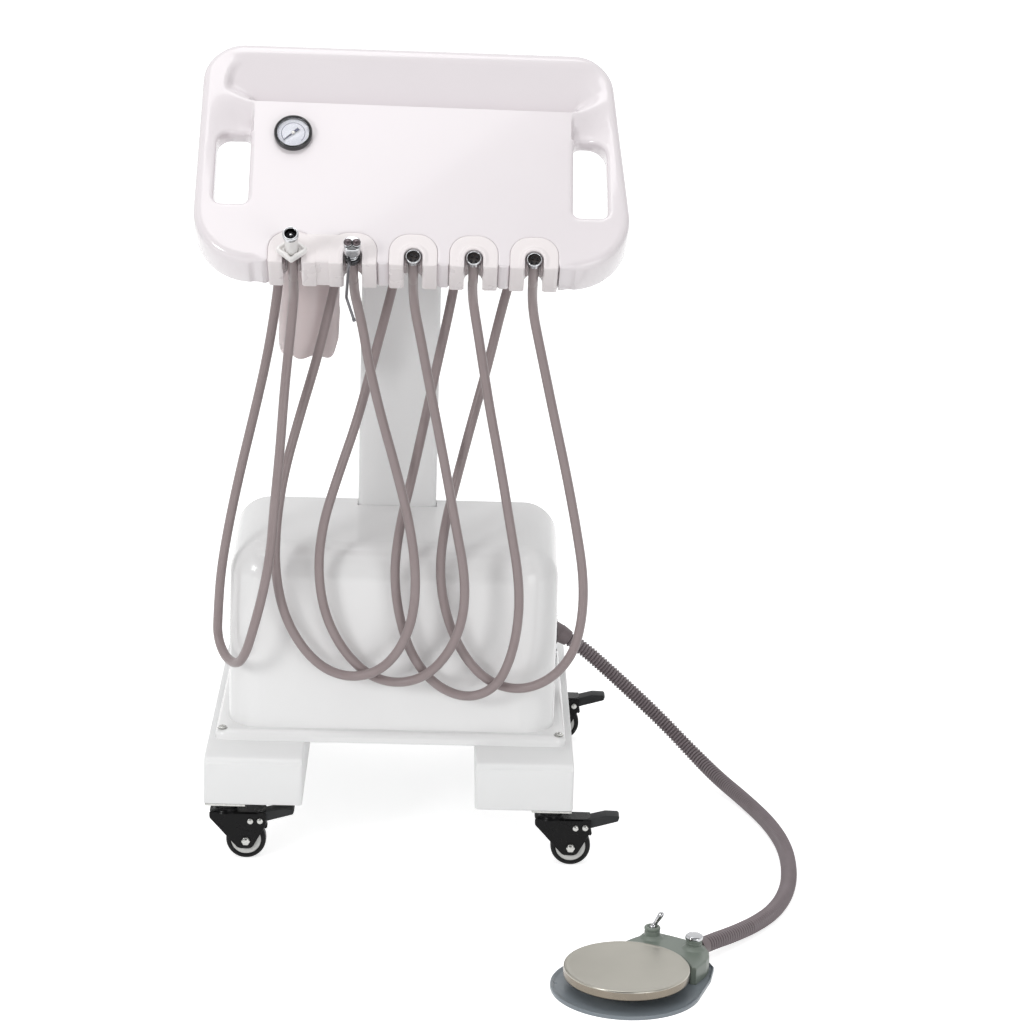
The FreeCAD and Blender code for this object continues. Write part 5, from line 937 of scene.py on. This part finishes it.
def shape_foot_control():
    """Foot control. The casting is one surface: its height is the deck's or, near a tower at
    distance d, raised by 4 (1 - smooth(d, 8.5, 14)) to flare into it."""
    points, faces = turned(eased([(0, 27.6), (40, 27.6), (66, 27.6), (68.5, 28), (71.6, 28),
        (72.5, 26.6), (72.5, 17), (71.2, 16), (70.8, 17), (70.9, 24.5), (66, 25.2), (9, 25.2),
        (9, 8), (0, 8)], 1.2, 5), 144)
    radius = np.hypot(points[:, 0], points[:, 1])[faces].mean(1)
    height = points[:, 2][faces].mean(1)
    # The skirt's faces take a darker, warmer copy of the stainless: a painted reflection.
    skirt = (radius > 71.3) & (height < 26.2)
    place = at(*PEDAL_PLACE)
    layers = [((points, faces[~skirt]), STAINLESS), ((points, faces[skirt]), SKIRT_REFLECTION_STAINLESS)]
    piece("round_tread", layers, place, None, 40, "foot_tread")

    block, wing = loop_edge(HOUSING, 7), loop_edge(FLOOR_WING, 8)

    def block_rim(x, y):
        return np.maximum(block(x, y) + 3, 3 + 75.2 - np.hypot(x, y))

    def casting(x, y):
        high = 24 - 0.6 * smooth(np.hypot(x - 50, y - 70), 10, 60)
        for u, v in (TOGGLE, CAP):
            high = high + 4 * (1 - smooth(np.hypot(x - u, y - v), 8.5, 14))
        return high
    body = plate((-3, 101, 1.25), (-4, 111, 1.25), block_rim, casting, 2.3, 3)
    collar = turned(eased([(0, 26), (9.6, 26), (9.2, 31), (9.2, 32.4), (8.3, 32.9), (8.3, 33.7),
        (9.5, 34.2), (9.5, 36.6), (8.4, 37.9), (6.4, 37.9), (5.4, 36.4), (0, 35.4)], 0.5), 56)
    grooves = turned(eased([(0, 24), (9.8, 24), (9.6, 28.2), (8.2, 28.8), (8.2, 29.8), (9.6, 30.4),
        (9.6, 31.6), (8.2, 32.2), (8.2, 33.2), (9.4, 33.8), (9.4, 35.6), (0, 35.6)], 0.3, 3), 56)
    piece("valve_casting", [(body, HAMMER_ENAMEL), (moved(collar, at(*TOGGLE)), HAMMER_ENAMEL),
        (moved(grooves, at(*CAP)), HAMMER_ENAMEL)], place, ["foot_valve"], 38)

    def floor_plan(x, y):
        return np.minimum(np.hypot(x, y) - 87, wing(x, y))

    def lip(x, y):
        r = np.hypot(x, y)
        outer = (r > 60) & (wing(x, y) > -1.5)
        return 2.1 + 2.3 * smooth(r, 82.6, 84.6) * outer
    sheet = cut((-90, 108, 2), (-90, 116, 2), floor_plan, lip, 0, 0.9, 0.3)
    boss = turned([(9.2, 2), (12.6, 2), (12.6, 14), (9.2, 14), (9.2, 2)], 40)
    piece("enamelled_floor_plate", [(sheet, GREY_ENAMEL), (boss, GREY_ENAMEL)], place,
        ["floor_plate"], 38)

    lever = turned(eased([(0, -4), (3, -3.4), (4, 0), (3.4, 3), (2.6, 4.6), (2.6, 8), (3.2, 13),
        (3.6, 18), (2.7, 22), (0, 22.6)], 1.4, 5), 32)
    pin = moved(turned([(0, -5.4), (1.2, -5.4), (1.2, 5.4), (0, 5.4)], 16), at(turn=90, axis="X"))
    piece("toggle_lever", [(moved(lever, at(turn=30, axis="Y")), CHROME), (pin, CHROME)],
        place @ at(*TOGGLE, 36), None, body="foot_toggle")
    cap = turned(eased([(0, 0), (10.2, 0), (10.3, 3.2), (9.2, 4.9), (6, 5.6), (0, 5.8)], 0.7), 60,
        lambda a, r, h: (r * (1 + 0.025 * np.cos(6 * a) * smooth(r, 6, 9)), h))
    piece("hex_cap", [(cap, CHROME)], place @ at(*CAP, 35.4), ["valve_cap"])


shape_console()
shape_holders()
shape_gauge()
shape_couplers()
shape_suction()
shape_syringe()
shape_feet()
shape_screws()
shape_casters()
shape_bottle()
shape_foot_control()

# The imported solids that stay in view, by their finish.
FINISHES = ((POWDER_COAT, "base_plate column console_bracket"), (FORMED_ABS, "base_cover"),
    (ZINC, "caster_plates"), (CHROME, "fan_guards"), (GELCOAT, "console_base"),
    (WHITE_PP, "bottle_cap"), (RELIEF_RUBBER, "hose_glands"), (CAST_ALUMINIUM, "compressor_motor"),
    (FIN_BLACK, "compressor_heads"), (RUBBER, "compressor_feet"), (BLACK_NYLON,
    "fan_frames fan_rotor_left fan_rotor_right"), (BLACK_NYLON,
    "compressor_shaft power_inlet power_switch"))
for look, names in FINISHES:
    for name in names.split():
        NODES[name].data.materials.clear()
        NODES[name].data.materials.append(look)

# ---- studio


def make_floor():
    """A wide pale floor that reads as white to the eye and in reflections, and keeps shadows."""
    mesh = bpy.data.meshes.new("studio_floor")
    mesh.from_pydata([(-14, -14, 0), (14, -14, 0), (14, 14, 0), (-14, 14, 0)], [], [(0, 1, 2, 3)])
    floor = placed("studio_floor", mesh)
    paper = bpy.data.materials.new("studio_paper")
    tree = bare_tree(paper)
    path = add(tree, "LightPath").outputs
    seen = add(tree, "Math", {0: path["Is Camera Ray"], 1: path["Is Glossy Ray"]},
        operation="MAXIMUM")
    seen = add(tree, "Math", {0: seen.outputs[0], 1: path["Is Transmission Ray"]},
        operation="MAXIMUM")
    matt = add(tree, "BsdfDiffuse", {"Color": (0.8, 0.8, 0.8, 1)})
    glow = add(tree, "Emission", {"Color": (1, 1, 1, 1), "Strength": 0.68})
    both = add(tree, "AddShader", {0: matt.outputs[0], 1: glow.outputs[0]})
    mix = add(tree, "MixShader", {0: seen.outputs[0], 1: matt.outputs[0], 2: both.outputs[0]})
    add(tree, "OutputMaterial", {"Surface": mix.outputs[0]})
    mesh.materials.append(paper)


def make_world():
    """A plain grey studio with a white backdrop beyond the unit."""
    world = bpy.data.worlds.new("studio")
    bpy.context.scene.world = world
    tree = bare_tree(world)
    way = add(tree, "SeparateXYZ", {0: add(tree, "TexCoord").outputs["Generated"]}).outputs
    above = add(tree, "MapRange", {"Value": way["Z"], "From Min": -0.1, "From Max": 0.9,
        "To Min": 0.47, "To Max": 0.66})
    room = add(tree, "MapRange", {"Value": way["Y"], "From Min": -0.75, "From Max": 0.15,
        "To Min": 0.12, "To Max": 1})
    path = add(tree, "LightPath").outputs
    light, mirrored, white = (add(tree, "Background", {"Color": (1, 1, 1, 1), "Strength": strength})
        for strength in (above.outputs["Result"], room.outputs["Result"], 1))
    mix = add(tree, "MixShader", {0: path["Is Glossy Ray"], 1: light.outputs[0],
        2: mirrored.outputs[0]})
    seen = add(tree, "Math", {0: path["Is Camera Ray"], 1: path["Is Transmission Ray"]},
        operation="MAXIMUM")
    mix = add(tree, "MixShader", {0: seen.outputs[0], 1: mix.outputs[0], 2: white.outputs[0]})
    add(tree, "OutputWorld", {"Surface": mix.outputs[0]})


def hang_lamp(name, place, aim, size, power):
    """A square soft lamp, aimed at a point."""
    lamp = bpy.data.lights.new(name, "AREA")
    lamp.shape, lamp.size, lamp.energy = "SQUARE", size, power
    item = placed(name, lamp)
    item.location = place
    item.rotation_euler = (Vector(aim) - Vector(place)).to_track_quat("-Z", "Y").to_euler()


make_floor()
make_world()
hang_lamp("key_lamp", (-2.4, -3, 1.8), (0, -0.1, 0.4), 0.9, 36)
hang_lamp("fill_lamp", (1.8, -3.4, 0.9), (0, -0.1, 0.4), 1.6, 20)
hang_lamp("top_lamp", (-0.4, -0.4, 3.6), (0, -0.1, 0.3), 1.8, 24)
bpy.context.scene.view_settings.view_transform = "Standard"
